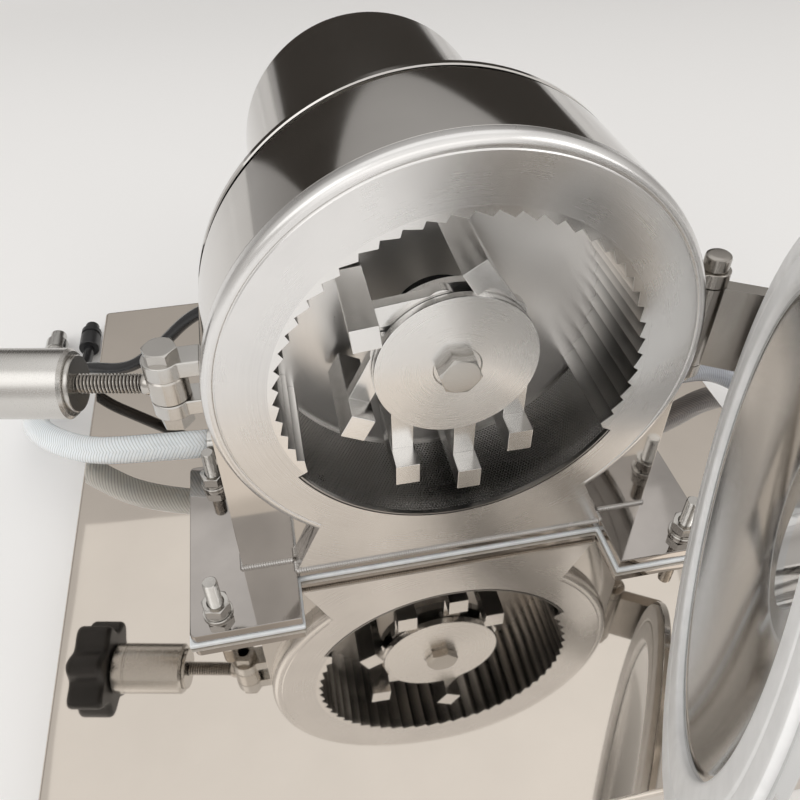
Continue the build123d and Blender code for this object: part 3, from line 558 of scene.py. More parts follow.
coil = trace([(washer_bore, 0, washer_top), (spring_radius, 0, washer_top),
              (spring_radius, 0, spring_top - spring_gap), (washer_bore, 0, spring_top - spring_gap)], True)
done()
modify(coil, "SCREW", angle=math.radians(348), screw_offset=spring_gap, steps=40, render_steps=40)
close_up()
springs = copies(coil, at(stud_places), "base_split_washers")
dress(springs, bolt_steel, "frame", "satin_steel", "base_spring_washers")

nut = hexagon_head(0.017, spring_top, nut_top)
combine(nut, turn([(0, spring_top - 0.001), (nut_bore, spring_top - 0.001), (nut_bore, nut_top - 0.0008),
                   (nut_mouth, nut_top + 0.0003), (0, nut_top + 0.0003)], 32), "DIFFERENCE")
nuts = copies(nut, at(stud_places), "base_hex_nuts")
dress(nuts, bolt_steel, "frame", "satin_steel", "base_nuts")

# Housing: a polished band bent round the drum with two straight legs, and the gusset wall behind the ring.
# It is welded to the base flange and all its outside is buffed bright.
mm = 0.001
drum_height = 0.218
wall_y = -0.032
drum_radius = 150.0
band_wall = 4
band_back = 77
leg_foot = -156.0
liner_radius = 114.0
slide_radius = 118.8


def on_drum(x, y, z):
    """A point given in millimetres from the drum axis and the housing's front wall."""
    return (x * mm, y * mm + wall_y, z * mm + drum_height)


drum_middle = on_drum(0, 0, 0)


def arc(radius, first, last, steps, centre=(0, 0)):
    """Points on an arc, in degrees from the right, about the drum axis or another centre."""
    angles = [math.radians(first + (last - first) * index / steps) for index in range(steps + 1)]
    return [(centre[0] + radius * math.cos(angle), centre[1] + radius * math.sin(angle)) for angle in angles]


def drum_slab(outline, front, back):
    """An outline of (x, z) points, pushed from front to back along the drum axis."""
    return slab([on_drum(x, front, z) for x, z in outline], (0.0, (back - front) * mm, 0.0))


def drum_turned(profile, steps=160, angle=360.0, first=0.0, closed=True):
    """A profile of (radius, y) points turned about the drum axis, all round or from an angle on."""
    lean = math.radians(first)
    points = [on_drum(radius * math.cos(lean), y, radius * math.sin(lean)) for radius, y in profile]
    piece = spun(points, steps, (0, 1, 0), drum_middle, math.radians(angle), closed)
    if angle < 360.0:
        close_up()
    return piece


def drum_plug(radius, front, back, steps):
    """A plain round bar along the drum axis, to cut with."""
    return drum_turned([(0, front), (radius, front), (radius, back), (0, back)], steps, closed=False)


def legged(radius, foot):
    """Half a circle on two straight legs."""
    return [(radius, foot)] + arc(radius, 0, 180, 90) + [(-radius, foot)]


def cut_mouth(piece, front, back):
    """The drum's mouth: the liner's bore, and wider below where the screen slides in."""
    combine(piece, drum_plug(liner_radius, front, back, 160), "DIFFERENCE")
    slide = [(60, front), (slide_radius, front), (slide_radius, back), (60, back)]
    return combine(piece, drum_turned(slide, 60, angle=120, first=210), "DIFFERENCE")


shell = drum_slab(legged(drum_radius, leg_foot), 0, band_back)
combine(shell, drum_slab(legged(drum_radius - band_wall, leg_foot - 5), band_wall, 90), "DIFFERENCE")
cut_mouth(shell, -1, band_wall + 1)
soften(shell, 0.0005, 2)
settle(shell, "drum_band")
mirror_band = steel("drum_band_mirror", (0.68, 0.66, 0.635), 0.07, haze=0.07, stain=0.1, wave=0.0006)
dress(shell, mirror_band, "frame", "polished_steel", "housing_shell")

# Front ring: a thick satin ring with a rounded bead round its edge, and the apron that joins it to the base.
# It is turned, welded on and ground flush, so its finish runs round the axis.
ring_front = -10
apron_half = 113
bead = [(142.1, ring_front), (142.6, -9.55), (143.0, -9.3), (143.4, -9.55), (144.0, -9.98), (145.7, -9.95),
        (147.3, -9.3), (148.7, -8.1), (149.6, -6.6), (150.0, -5.0)]
front_ring = drum_turned([(112, 0), (112, ring_front)] + bead + [(150, 0)], 200)
apron = drum_slab([(-84, -90), (84, -90), (apron_half, leg_foot), (-apron_half, leg_foot)], ring_front, 0)
combine(front_ring, apron, "UNION")
soften(front_ring, 0.0006, 2, 50.0)
cut_mouth(front_ring, ring_front - 1, 1)
settle(front_ring, "drum_front_ring", 40.0)


def off_axis(tree, place):
    """A place as seen along the piece's own Y axis."""
    return add(tree, "ShaderNodeVectorMath", {0: place, 1: (1.0, 0.0, 1.0)}, operation="MULTIPLY").outputs[0]


def axis_distance(tree, place):
    """How far a place is from the piece's own Y axis."""
    return add(tree, "ShaderNodeVectorMath", {0: off_axis(tree, place)}, operation="LENGTH").outputs["Value"]


def turning_marks(tree, place, pitch):
    """Fine rings about the piece's own Y axis, as a lathe tool leaves them."""
    rings = {"W": axis_distance(tree, place), "Scale": 1.0 / pitch, "Detail": 2.0}
    return add(tree, "ShaderNodeTexNoise", rings, noise_dimensions="1D").outputs["Fac"]


satin_ring = steel("front_ring_satin", (0.85, 0.84, 0.83), 0.25, turning_marks, pitch=0.0009, depth=0.000001,
                   spread=0.03, haze=0.16, stain=0.26, centre=drum_middle)
dress(front_ring, satin_ring, "frame", "polished_steel", "front_ring")

# Back wall and sleeve: plates welded inside the band; the sleeve carries the liner, and its two straight
# sides lead the powder down. The wall is buffed, the sleeve is left as rolled.
back_wall = steel("back_wall_buffed", (0.87, 0.855, 0.835), 0.27, turning_marks, pitch=0.002, depth=0.000003,
                  spread=0.05, haze=0.14, stain=0.12, centre=drum_middle)


def brush_marks(tree, place, pitch):
    """Fine lines along the piece's own X axis, as a belt leaves them."""
    return noise(tree, place, 1.0 / pitch, 2.0, (0.03, 1.0, 1.0))


rolled_steel = steel("rolled_sheet", (0.44, 0.425, 0.41), 0.34, brush_marks, pitch=0.0009, depth=0.00001,
                     spread=0.1, haze=0.14, stain=0.2)


def refinish(material, *names):
    """A frame node whose shape is right keeps it and gets its finish."""
    for name in names:
        node[name].data.materials.clear()
        node[name].data.materials.append(material)


refinish(back_wall, "back_plate")
refinish(rolled_steel, "chamber_sleeve", "outlet_collar")

# Toothed liner: a thick strip with saw teeth planed along it, rolled round and pushed into the drum.
# The screen closes the gap that it leaves at the bottom.
teeth = 38
liner_first, liner_last = -30.0, 210.0
liner_back = 60
tooth_step = (liner_last - liner_first) / teeth
tooth_lean = 0.22 * tooth_step
tooth_root, tooth_tip = 111.5, 107.7
# How far inside the tooth tips the painted shade in the gaps starts, in millimetres.
tooth_shade_margin = 0.4


def on_circle(radius, angle):
    """One point on a circle about the drum axis."""
    return arc(radius, angle, angle, 1)[0]


saw = []
for index in range(teeth):
    start = liner_first + tooth_step * index
    saw += [on_circle(tooth_root, start), on_circle(tooth_tip, start + tooth_lean)]
saw += [on_circle(tooth_root, liner_last)] + arc(liner_radius, liner_last, liner_first, 96)
liner = drum_slab(saw, ring_front, liner_back)
edit()
pick("edges", lambda edge: math.hypot(middle(edge).x, middle(edge).z - drum_height) < (tooth_root + 0.3) * mm)
bpy.ops.mesh.bevel(offset=0.0002, segments=2, affect="EDGES")
done()
settle(liner, "liner_teeth")


def painted_groove_shade(material, centre, tilt, start, clean, deep, share):
    """Painted shade deep in teeth and threads: from a start along the axis, the tone falls off to a dark
    shade colour between two distances from it."""
    tree = material.node_tree
    shader = tree.nodes["Principled BSDF"]
    place = place_on_piece(tree, centre, tilt)
    along = add(tree, "ShaderNodeSeparateXYZ", {"Vector": place}).outputs["Y"]
    depth = add(tree, "ShaderNodeMapRange", {"Value": axis_distance(tree, place), "From Min": clean,
                                             "From Max": deep, "To Max": share}).outputs["Result"]
    reached = add(tree, "ShaderNodeMapRange", {"Value": along, "From Min": start,
                                               "From Max": start + 0.0005}).outputs["Result"]
    painted_shade = maths(tree, "MULTIPLY", depth, reached)
    tone = shader.inputs["Base Color"].links[0].from_socket
    # The near-black colour is painted shade in the grooves, not the steel's own tone.
    plug(tree, shader, {"Base Color": mix(tree, tone, (0.09, 0.085, 0.08), painted_shade)})
    return material


planed_teeth = steel("liner_planed", (0.86, 0.85, 0.835), 0.2, haze=0.1, stain=0.12)
# The gaps between the teeth are darkened towards their roots: painted shade.
painted_groove_shade(planed_teeth, drum_middle, (0.0, 0.0, 0.0), (ring_front + 0.1) * mm, (tooth_tip + tooth_shade_margin) * mm,
       tooth_root * mm, 0.8)
dress(liner, planed_teeth, "frame", "satin_steel", "toothed_liner")

# Screen: a thin sheet punched full of small holes in staggered rows, rolled and slid under the rotor.
# One six-sided cell is laid out flat, repeated, trimmed and rolled up; plain strips edge it.
hole_pitch = 2.3
hole_rim = 0.42
screen_radius = 117.2
screen_wall = 1.0
screen_length = 2 * math.radians(59.5) * screen_radius
screen_front, screen_back = -7.5, 57.5
strip_inner, strip_outer, strip_lap = 116.65, 117.75, 0.3
row = hole_pitch * math.sqrt(3) / 2
fresh()
bpy.ops.mesh.primitive_circle_add(vertices=6, radius=hole_pitch / math.sqrt(3), fill_type="NGON",
                                  location=(-screen_length / 2, screen_front, 0.0))
punched = bpy.context.object
fix_place()
edit()
bpy.ops.mesh.select_mode(type="FACE")
bpy.ops.mesh.select_all(action="SELECT")
bpy.ops.mesh.inset(thickness=hole_rim, use_even_offset=True)
bpy.ops.mesh.delete(type="FACE")
done()
columns = math.ceil(screen_length / hole_pitch) + 2
rows = math.ceil((screen_back - screen_front) / (2 * row)) + 1
for count, step in ((2, (hole_pitch / 2, row, 0)), (columns, (hole_pitch, 0, 0)), (rows, (0, 2 * row, 0))):
    modify(punched, "ARRAY", count=count, use_relative_offset=False, use_constant_offset=True,
           constant_offset_displace=step)
edit()
bpy.ops.mesh.select_mode(type="VERT")
for place, facing in (((-screen_length / 2, 0, 0), (-1, 0, 0)), ((screen_length / 2, 0, 0), (1, 0, 0)),
                      ((0, screen_front, 0), (0, -1, 0)), ((0, screen_back, 0), (0, 1, 0))):
    bpy.ops.mesh.select_all(action="SELECT")
    bpy.ops.mesh.bisect(plane_co=place, plane_no=facing, clear_outer=True)
merge_seams(0.05)
face_out()
done()
modify(punched, "SOLIDIFY", thickness=screen_wall, offset=0.0)
for vert in punched.data.vertices:
    lean = vert.co.x / screen_radius
    reach = screen_radius + vert.co.z
    vert.co = on_drum(reach * math.sin(lean), vert.co.y, -reach * math.cos(lean))
strips = [drum_turned([(strip_inner, low), (strip_outer, low), (strip_outer, high), (strip_inner, high)],
                      60, angle=119, first=210.5)
          for low, high in ((ring_front, screen_front + strip_lap), (screen_back - strip_lap, liner_back))]
joined([punched, *strips])
edit()
face_out()
done()
settle(punched, "screen_punched", 30.0)
dark_sheet = steel("screen_sheet", (0.47, 0.46, 0.45), 0.3, haze=0.15, stain=0.25)
dress(punched, dark_sheet, "frame", "dark_steel", "screen")

# Weld beads: where the band's legs and the apron stand on the base flange, small overlapping ripples
# are left in the corner and only brushed clean.
bead_step = 1.7
ripple_radius = 1.9
weld_height = leg_foot + 0.3
weld_proud = 0.2


def weld_bead(start, end):
    """A row of flattened ripples between two (x, y) points, in millimetres from the drum axis."""
    start, end = Vector((*start, weld_height)), Vector((*end, weld_height))
    run = end - start
    count = int(run.length / bead_step)
    fresh()
    bpy.ops.mesh.primitive_uv_sphere_add(segments=10, ring_count=6, radius=ripple_radius * mm,
                                         location=on_drum(*start))
    ripple = bpy.context.object
    fix_place()
    modify(ripple, "ARRAY", count=count, use_relative_offset=False, use_constant_offset=True,
           constant_offset_displace=run * mm / count)
    return ripple


welds = []
for side in (-1, 1):
    leg_side, apron_side = side * (drum_radius + weld_proud), side * apron_half
    welds += [weld_bead((leg_side, 1), (leg_side, band_back)),
              weld_bead((side * drum_radius, -weld_proud), (side * (apron_half + 1), -weld_proud)),
              weld_bead((apron_side, ring_front + 1), (apron_side, -1))]
apron_weld = ring_front - weld_proud
welds.append(weld_bead((1 - apron_half, apron_weld), (apron_half - 1, apron_weld)))
weld_beads = settle(joined(welds), "base_weld_beads", 60.0)
weld_brushed = steel("weld_brushed", (0.6, 0.58, 0.56), 0.26, haze=0.2, stain=0.3)
dress(weld_beads, weld_brushed, "frame", "satin_steel")

# Rotor: two discs on the shaft's nose with six pins between them, clamped by one large bolt.
# The front disc is faced on a lathe, so fine rings cross it.
front_disc = drum_turned([(8.3, 10), (8.3, 5), (14.6, 5), (15.0, 4.6), (15.4, 4), (50.6, 4), (51.2, 4.25),
                          (51.5, 4.9), (51.5, 9.2), (50.7, 10)], 128)
settle(front_disc, "rotor_disc_front", 30.0)


def lathe_gloss(material, centre, stretch):
    """Gloss stretched across the rings of a lathe tool, so that light fans out from the middle."""
    tree = material.node_tree
    flat = off_axis(tree, place_on_piece(tree, centre))
    outward = add(tree, "ShaderNodeVectorMath", {0: flat}, operation="NORMALIZE").outputs[0]
    heading = add(tree, "ShaderNodeVectorTransform", {"Vector": outward}, vector_type="VECTOR",
                  convert_from="OBJECT", convert_to="WORLD").outputs[0]
    plug(tree, tree.nodes["Principled BSDF"], {"Tangent": heading, "Anisotropic": stretch})
    return material


faced_disc = steel("rotor_disc_faced", (0.86, 0.85, 0.835), 0.26, turning_marks, pitch=0.0006,
                   depth=0.0000012, spread=0.02, haze=0.08, stain=0.05, centre=drum_middle)
lathe_gloss(faced_disc, drum_middle, 0.75)
dress(front_disc, faced_disc, "rotor", "satin_steel", "rotor_front_disc")
refinish(faced_disc, "rotor_rear_disc")
refinish(bolt_steel, "hammer_pins", "drive_shaft")

rotor_bolt_turn = 0.35
square_foot = 0.08
rotor_bolt = hexagon_head(0.024, -0.005, 0.005, square_foot)
rotor_bolt.data.transform(Matrix.Translation(drum_middle) @ Matrix.Rotation(math.pi / 2, 4, "X")
                          @ Matrix.Rotation(rotor_bolt_turn, 4, "Z"))
shank = drum_turned([(0, 4.9), (8, 4.9), (8, 37), (7, 38), (0, 38)], 40, closed=False)
combine(rotor_bolt, shank, "UNION")
settle(rotor_bolt, "rotor_centre_bolt")
dress(rotor_bolt, bolt_steel, "rotor", "satin_steel", "rotor_bolt")

# Hammers: six T-shaped pieces milled from bar, each free on its own pin. At rest some hang down and
# some lie against their neighbours. Their edges are kept sharp, only just broken.
strap_front, strap_back, strap_half = 10.6, 18.6, 7
head_front, head_back = -6.4, 54.6
head_width, head_height = 17, 16
hammer_reach = 47.0
hammer_eye, hammer_bore = 10, 0.00505
pin_circle, first_pin = 44.0, 42.5
hang_angles = (122.0, 186.0, 243.0, 270.0, 270.0, 270.0)
milled_steel = steel("hammer_milled", (0.88, 0.87, 0.855), 0.22, haze=0.16, stain=0.14)
strap = [(hammer_reach, -strap_half), (hammer_reach, strap_half)] + arc(hammer_eye, 46, 310, 33)


def hammer_point(x, y, z):
    """A point given in millimetres from the middle of the hammer's pin."""
    return (x * mm, y * mm, z * mm)


def round_bar(radius, low, high, steps):
    """A plain round bar along Z, to cut a bore with or to add a shank."""
    return turn([(0, low), (radius, low), (radius, high), (0, high)], steps)


pattern = slab([hammer_point(x, strap_front, z) for x, z in strap],
               hammer_point(0, strap_back - strap_front, 0))
fresh()
bpy.ops.mesh.primitive_cube_add(size=1.0,
                                location=hammer_point(hammer_reach, (head_front + head_back) / 2, 0))
head = bpy.context.object
head.scale = hammer_point(head_width, head_back - head_front, head_height)
fix_place()
combine(pattern, head, "UNION")
bore = round_bar(hammer_bore, -0.03, 0.03, 32)
bore.data.transform(Matrix.Translation(hammer_point(0, (strap_front + strap_back) / 2, 0))
                    @ Matrix.Rotation(math.pi / 2, 4, "X"))
combine(pattern, bore, "DIFFERENCE")
soften(pattern, 0.00045, 2, 40.0)
for index, hang in enumerate(hang_angles):
    pin = math.radians(first_pin + 60.0 * index)
    place = on_drum(pin_circle * math.cos(pin), 0, pin_circle * math.sin(pin))
    hammer = twin(pattern, Matrix.Translation(place) @ Matrix.Rotation(-math.radians(hang), 4, "Y"))
    settle(hammer, "swing_hammer_%d" % (index + 1))
    dress(hammer, milled_steel, "hammer_" + "abcdef"[index], "satin_steel", "hammer_%d" % (index + 1))
bpy.data.objects.remove(pattern)

# Rear flange and motor: a thin rim behind the band, and a drawn steel shroud over the motor, both buffed.
# The motor itself, its shields, cores and windings, sits inside the shroud.
rear_rim = drum_turned([(60, 83), (118, 83), (118, 66), (140, 66), (140, 83), (149.2, 83), (150, 83.8),
                        (150, 88.2), (149.2, 89), (60, 89)], 180)
settle(rear_rim, "rear_flange_rim")
dress(rear_rim, mirror_band, "frame", "polished_steel", "rear_flange")

shroud_radius, shroud_wall, shroud_round = 108, 3, 14
shroud_front, shroud_back = 91, 345
shroud_lip = shroud_radius - shroud_wall
round_centre = (shroud_radius - shroud_round, shroud_back - shroud_round)
shroud_edge = arc(shroud_round, 0, 90, 10, round_centre)
lining_edge = arc(shroud_round - shroud_wall, 0, 90, 6, round_centre)
shroud = drum_turned([(shroud_lip, shroud_front), (107.4, shroud_front), (shroud_radius, 91.6)] + shroud_edge
                     + [(0, shroud_back)], 160, closed=False)
lining = drum_turned([(shroud_lip, shroud_front)] + lining_edge + [(0, shroud_back - shroud_wall)], 160,
                     closed=False)
edit()
bpy.ops.mesh.select_all(action="SELECT")
bpy.ops.mesh.normals_make_consistent(inside=True)
done()
joined([shroud, lining])
edit()
merge_seams(0.00001)
done()
settle(shroud, "motor_shroud_cup", 40.0)
mirror_shroud = steel("shroud_mirror", (0.68, 0.66, 0.635), 0.08, brush_marks, pitch=0.0012, depth=0.000003,
                      spread=0.05, haze=0.06, stain=0.1, centre=drum_middle, tilt=(0.0, 0.0, math.pi / 2))
dress(shroud, mirror_shroud, "frame", "polished_steel", "motor_shroud")


def cast_iron(name, colour):
    """Cast metal under a coat of grey paint, grainy from the sand."""
    material, tree, shader = new_material(name)
    place = place_on_piece(tree)
    grit = noise(tree, place, 420.0, 3.0)
    paint = ramp(tree, noise(tree, place, 30.0, 4.0), [(0.3, shaded(colour, 0.82)), (0.68, colour)])
    plug(tree, shader, {"Base Color": paint, "Metallic": 0.3,
                        "Roughness": maths(tree, "MULTIPLY_ADD", grit, 0.25, 0.36)})
    relief(tree, shader, grit, 0.0003, 0.6)
    return material


grey_casting = cast_iron("grey_casting", (0.36, 0.37, 0.38))
refinish(grey_casting, "motor_front_shield", "motor_rear_shield")
ground_races = steel("bearing_ground", (0.64, 0.63, 0.62), 0.14, turning_marks, pitch=0.0006, depth=0.000004,
                     spread=0.08, haze=0.05, stain=0.05, centre=drum_middle)
refinish(ground_races, "front_bearing", "rear_bearing")
laminations = steel("core_laminations", (0.3, 0.3, 0.3), 0.45, brush_marks, pitch=0.0007, depth=0.00003,
                    spread=0.2, haze=0.1, stain=0.2)
refinish(laminations, "stator_core", "rotor_core")


def winding(name, colour):
    """Enamelled copper wire, bundled in turns."""
    material, tree, shader = new_material(name)
    wires = turning_marks(tree, place_on_piece(tree, drum_middle), 0.0011)
    enamel = ramp(tree, wires, [(0.35, shaded(colour, 0.55)), (0.6, colour)])
    plug(tree, shader, {"Base Color": enamel, "Metallic": 0.85, "Roughness": 0.3})
    relief(tree, shader, wires, 0.0004, 0.7)
    return material


refinish(winding("copper_windings", (0.68, 0.33, 0.17)), "stator_windings")


def seal_rubber(name, colour, worn):
    """Matt black rubber with a fine grit."""
    material, tree, shader = new_material(name)
    grit = noise(tree, place_on_piece(tree), 500.0, 2.0)
    plug(tree, shader, {"Base Color": ramp(tree, grit, [(0.3, colour), (0.7, worn)]), "Roughness": 0.55})
    relief(tree, shader, grit, 0.0001, 0.3)
    return material


refinish(seal_rubber("seal_rubber", (0.012, 0.012, 0.013), (0.03, 0.03, 0.031)), "shaft_seal")

# Motor saddle: an arched iron casting that carries the shroud, painted grey.
# A foot on each side is bolted down to the bed plate with two bolts.
saddle_front, saddle_back = 200, 270
saddle_half, saddle_waist = 116, 80
saddle_foot, saddle_ledge, saddle_top = -168, -160, -76
saddle = drum_slab([(-saddle_half, saddle_foot), (saddle_half, saddle_foot), (saddle_half, saddle_ledge),
                    (saddle_waist, saddle_ledge), (saddle_waist, saddle_top), (-saddle_waist, saddle_top),
                    (-saddle_waist, saddle_ledge), (-saddle_half, saddle_ledge)], saddle_front, saddle_back)
saddle_cut = (saddle_front - 10, saddle_back + 10)
combine(saddle, drum_plug(shroud_radius + 0.3, *saddle_cut, 120), "DIFFERENCE")
arch = [(-52, saddle_ledge), (52, saddle_ledge), (46.8, -122), (-46.8, -122)]
combine(saddle, drum_slab(arch, *saddle_cut), "DIFFERENCE")
soften(saddle, 0.0015, 3)
settle(saddle, "motor_saddle_casting")
dress(saddle, grey_casting, "frame", "cast_grey", "motor_saddle")
saddle_places = [(x, y) for x in (-0.100, 0.100) for y in (0.184, 0.222)]
saddle_bolt = hexagon_head(0.017, 0.058, 0.065, square_foot)
combine(saddle_bolt, round_bar(0.005, 0.0465, 0.0581, 32), "UNION")
saddle_bolts = copies(saddle_bolt, at(saddle_places), "saddle_hex_bolts")
dress(saddle_bolts, bolt_steel, "frame", "satin_steel", "saddle_bolts")

# Swing bolt: two ears welded to the drum hold an eye bolt on a pivot. Its threaded rod drops into the
# door's lug, and a sleeve with a black star knob screws along it to press the door shut.
swing_x, swing_y = -170, 25
swing_pivot = on_drum(swing_x, swing_y, 0)
rest_lean = math.radians(11.5)
ear_root = 142
ear_waist = 0.7
cast_bright = steel("ear_cast_bright", (0.66, 0.645, 0.62), 0.22, haze=0.2, stain=0.16)


def ear(pivot_x, pivot_y, radius, low, high):
    """A lug with a round eye for a vertical pin, and a narrower tongue welded to the drum's side."""
    side = 1 if pivot_x < 0 else -1
    waist = ear_waist * radius
    start = math.degrees(math.asin(ear_waist))
    tip = [(pivot_x + side * x, pivot_y + y) for x, y in arc(radius, start, 360 - start, 44)]
    tip += [(-side * ear_root, pivot_y - waist), (-side * ear_root, pivot_y + waist)]
    lug = slab([on_drum(x, y, low) for x, y in tip], (0, 0, (high - low) * mm))
    combine(lug, drum_plug(drum_radius, -1, band_back + 1, 180), "DIFFERENCE")
    soften(lug, 0.0009, 3)
    return lug


ears = joined([ear(swing_x, swing_y, 12, low, low + 11) for low in (9, -20)])
settle(ears, "clevis_ears")
dress(ears, cast_bright, "frame", "satin_steel", "bolt_clevis")

pivot_turn = 0.35
pivot = hexagon_head(0.018, 0.020, 0.0275, square_foot)
pivot_nut = hexagon_head(0.018, -0.030, -0.020)
pin = turn([(0, -0.030), (0.005, -0.030), (0.006, -0.029), (0.006, 0.0201), (0, 0.0201)], 40)
pivot = joined([combine(pivot, pin, "UNION"), pivot_nut])
pivot.data.transform(Matrix.Translation(swing_pivot) @ Matrix.Rotation(pivot_turn, 4, "Z"))
settle(pivot, "clevis_pivot")
dress(pivot, bolt_steel, "frame", "satin_steel", "swing_pivot")

along_rod = (Matrix.Translation(swing_pivot) @ Matrix.Rotation(-rest_lean, 4, "Z")
             @ Matrix.Rotation(-math.pi / 2, 4, "Y"))
rod_tilt = (0.0, 0.0, math.pi / 2 - rest_lean)
rod_radius, rod_pitch = 0.006, 0.0021
neck_end = 0.0145
rod = thread(rod_radius, rod_pitch, 0.010, 0.140)
barrel = turn([(0.0062, -0.0087), (0.011, -0.0087), (0.012, -0.0077), (0.012, 0.0077), (0.011, 0.0087),
               (0.0062, 0.0087)], 56, closed=True)
barrel.data.transform(Matrix.Rotation(math.pi / 2, 4, "Y"))
neck = turn([(0.0061, 0.0095), (0.0072, 0.0095), (0.0072, 0.0125), (0.0061, neck_end)], 40, closed=True)
rod = joined([rod, barrel, neck])
rod.data.transform(along_rod)
settle(rod, "swing_eye_bolt")
rod_steel = steel("rod_rolled", (0.66, 0.63, 0.59), 0.2, haze=0.1, stain=0.2)
# The thread's roots are darkened from the neck on: painted shade.
painted_groove_shade(rod_steel, swing_pivot, rod_tilt, neck_end, 0.0058, 0.005, 0.85)
dress(rod, rod_steel, "swing_arm", "satin_steel", "swing_bolt")

clamp_low, sleeve_low, sleeve_high = 0.0525, 0.0555, 0.1165
clamp_ring = ring(0.0062, 0.017, clamp_low, sleeve_low, 0.0005, 56)
clamp_ring.data.transform(along_rod)
settle(clamp_ring, "clamp_ring")
dress(clamp_ring, bolt_steel, "clamp_pad", "satin_steel", "clamp_washer")

sleeve = turn([(0.0061, sleeve_low), (0.0192, sleeve_low), (0.021, 0.0573), (0.021, 0.1040), (0.0206, 0.1044),
               (0.0206, 0.1056), (0.021, 0.1060), (0.021, 0.1147), (0.0192, sleeve_high),
               (0.0061, sleeve_high)], 80, closed=True)
sleeve.data.transform(along_rod)
settle(sleeve, "clamp_long_sleeve")
turned_sleeve = steel("sleeve_turned", (0.68, 0.665, 0.64), 0.2, brush_marks, pitch=0.0005, depth=0.000008,
                      spread=0.12, haze=0.06, stain=0.08, centre=swing_pivot, tilt=rod_tilt)
dress(sleeve, turned_sleeve, "clamp_knob", "satin_steel", "clamp_sleeve")

knob_foot, knob_height = 0.1166, 0.0299
knob_radius, knob_wave, knob_lobes, knob_points = 0.0365, 0.0045, 7, 140
star = []
for index in range(knob_points):
    lean = 2 * math.pi * index / knob_points
    reach = knob_radius + knob_wave * math.cos(knob_lobes * lean)
    star.append((reach * math.cos(lean), reach * math.sin(lean), knob_foot))
knob = slab(star, (0, 0, knob_height))
soften(knob, 0.0045, 5)
cap = turn([(0, 0.146), (0.016, 0.146), (0.016, 0.1482), (0.0152, 0.1491), (0.012, 0.1494), (0, 0.1495)], 56)
combine(knob, cap, "UNION")
combine(knob, round_bar(0.0061, 0.11, 0.1425, 32), "DIFFERENCE")
knob.data.transform(along_rod)
settle(knob, "clamp_star_knob")


def moulded(name, colour, rough):
    """Moulded plastic: a fine even grain, shinier where hands rub it."""
    material, tree, shader = new_material(name)
    place = place_on_piece(tree)
    rub = noise(tree, place, 45.0, 3.0)
    plug(tree, shader, {"Base Color": ramp(tree, rub, [(0.35, colour), (0.7, shaded(colour, 1.7))]),
                        "Roughness": maths(tree, "MULTIPLY_ADD", rub, -0.2, rough + 0.1)})
    relief(tree, shader, noise(tree, place, 1100.0, 2.0), 0.00012, 0.35)
    return material


black_moulding = moulded("knob_black", (0.014, 0.014, 0.015), 0.36)
dress(knob, black_moulding, "clamp_knob", "black_plastic", "star_knob")

# Hinge and door: two ears and a capped pin carry the door's arm. The door is a spun dish with a flat flange,
# polished inside; a wide white gasket lies on the flange, and a slotted lug meets the swing bolt.
hinge_x, hinge_y = 163, 18
hinge_axis = on_drum(hinge_x, hinge_y, 0)
door_swing = math.radians(59)
swing_open = (Matrix.Translation(hinge_axis) @ Matrix.Rotation(door_swing, 4, "Z")
              @ Matrix.Translation(-Vector(hinge_axis)))
door_rim, door_back = -14.3, -19.3
dish_inner, dish_outer = -40.3, -43.3
feed_lean = math.radians(45)
pipe_radius, pipe_wall = 32.0, 2.5
hinge_ears = joined([ear(hinge_x, hinge_y, 10, low, low + 10) for low in (30.3, -40.3)])
settle(hinge_ears, "hinge_lugs")
hinge_dull = steel("hinge_dull", (0.4, 0.375, 0.345), 0.22, haze=0.16, stain=0.2)
dress(hinge_ears, hinge_dull, "frame", "satin_steel", "hinge_ears")
hinge_pin = turn([(0, -0.0463), (0.005, -0.0463), (0.006, -0.0453), (0.006, 0.0403), (0.0075, 0.0403),
                  (0.008, 0.0408), (0.008, 0.0478), (0.0076, 0.0492), (0.0066, 0.0500), (0.005, 0.0503),
                  (0, 0.0503)], 48)
hinge_pin.data.transform(Matrix.Translation(hinge_axis))
settle(hinge_pin, "hinge_capped_pin")
dress(hinge_pin, hinge_dull, "frame", "satin_steel", "hinge_pin")


def on_door(piece, name, smooth=32.0):
    """Swing a piece of the shut door to where the door stands open."""
    piece.data.transform(swing_open)
    return settle(piece, name, smooth)


arm_half = 0.030
arm_bend = arc(6, -90, 0, 6, (162, -23.3))
arm_outline = [(158, hinge_y), (158, door_back), (122, door_back), (122, -29.3)] + arm_bend + [(168, hinge_y)]
arm = slab([on_drum(x, y, -30) for x, y in arm_outline], (0, 0, 2 * arm_half))
knuckle = round_bar(0.010, -arm_half, arm_half, 56)
knuckle.data.transform(Matrix.Translation(hinge_axis))
combine(arm, knuckle, "UNION")
bore = round_bar(0.00605, -0.031, 0.031, 40)
bore.data.transform(Matrix.Translation(hinge_axis))
combine(arm, bore, "DIFFERENCE")
soften(arm, 0.0007, 2)
on_door(arm, "door_arm")
dress(arm, hinge_dull, "door", "satin_steel", "door_hinge_arm")


def bow(first, through, last, steps):
    """Points on the circle arc through three (radius, y) points."""
    (ax, ay), (bx, by), (cx, cy) = first, through, last
    twice = 2 * (ax * (by - cy) + bx * (cy - ay) + cx * (ay - by))
    a2, b2, c2 = ax * ax + ay * ay, bx * bx + by * by, cx * cx + cy * cy
    mx = (a2 * (by - cy) + b2 * (cy - ay) + c2 * (ay - by)) / twice
    my = (a2 * (cx - bx) + b2 * (ax - cx) + c2 * (bx - ax)) / twice
    start, end = math.atan2(ay - my, ax - mx), math.atan2(cy - my, cx - mx)
    end += 2 * math.pi * round((start - end) / (2 * math.pi))
    return arc(math.hypot(ax - mx, ay - my), math.degrees(start), math.degrees(end), steps, (mx, my))


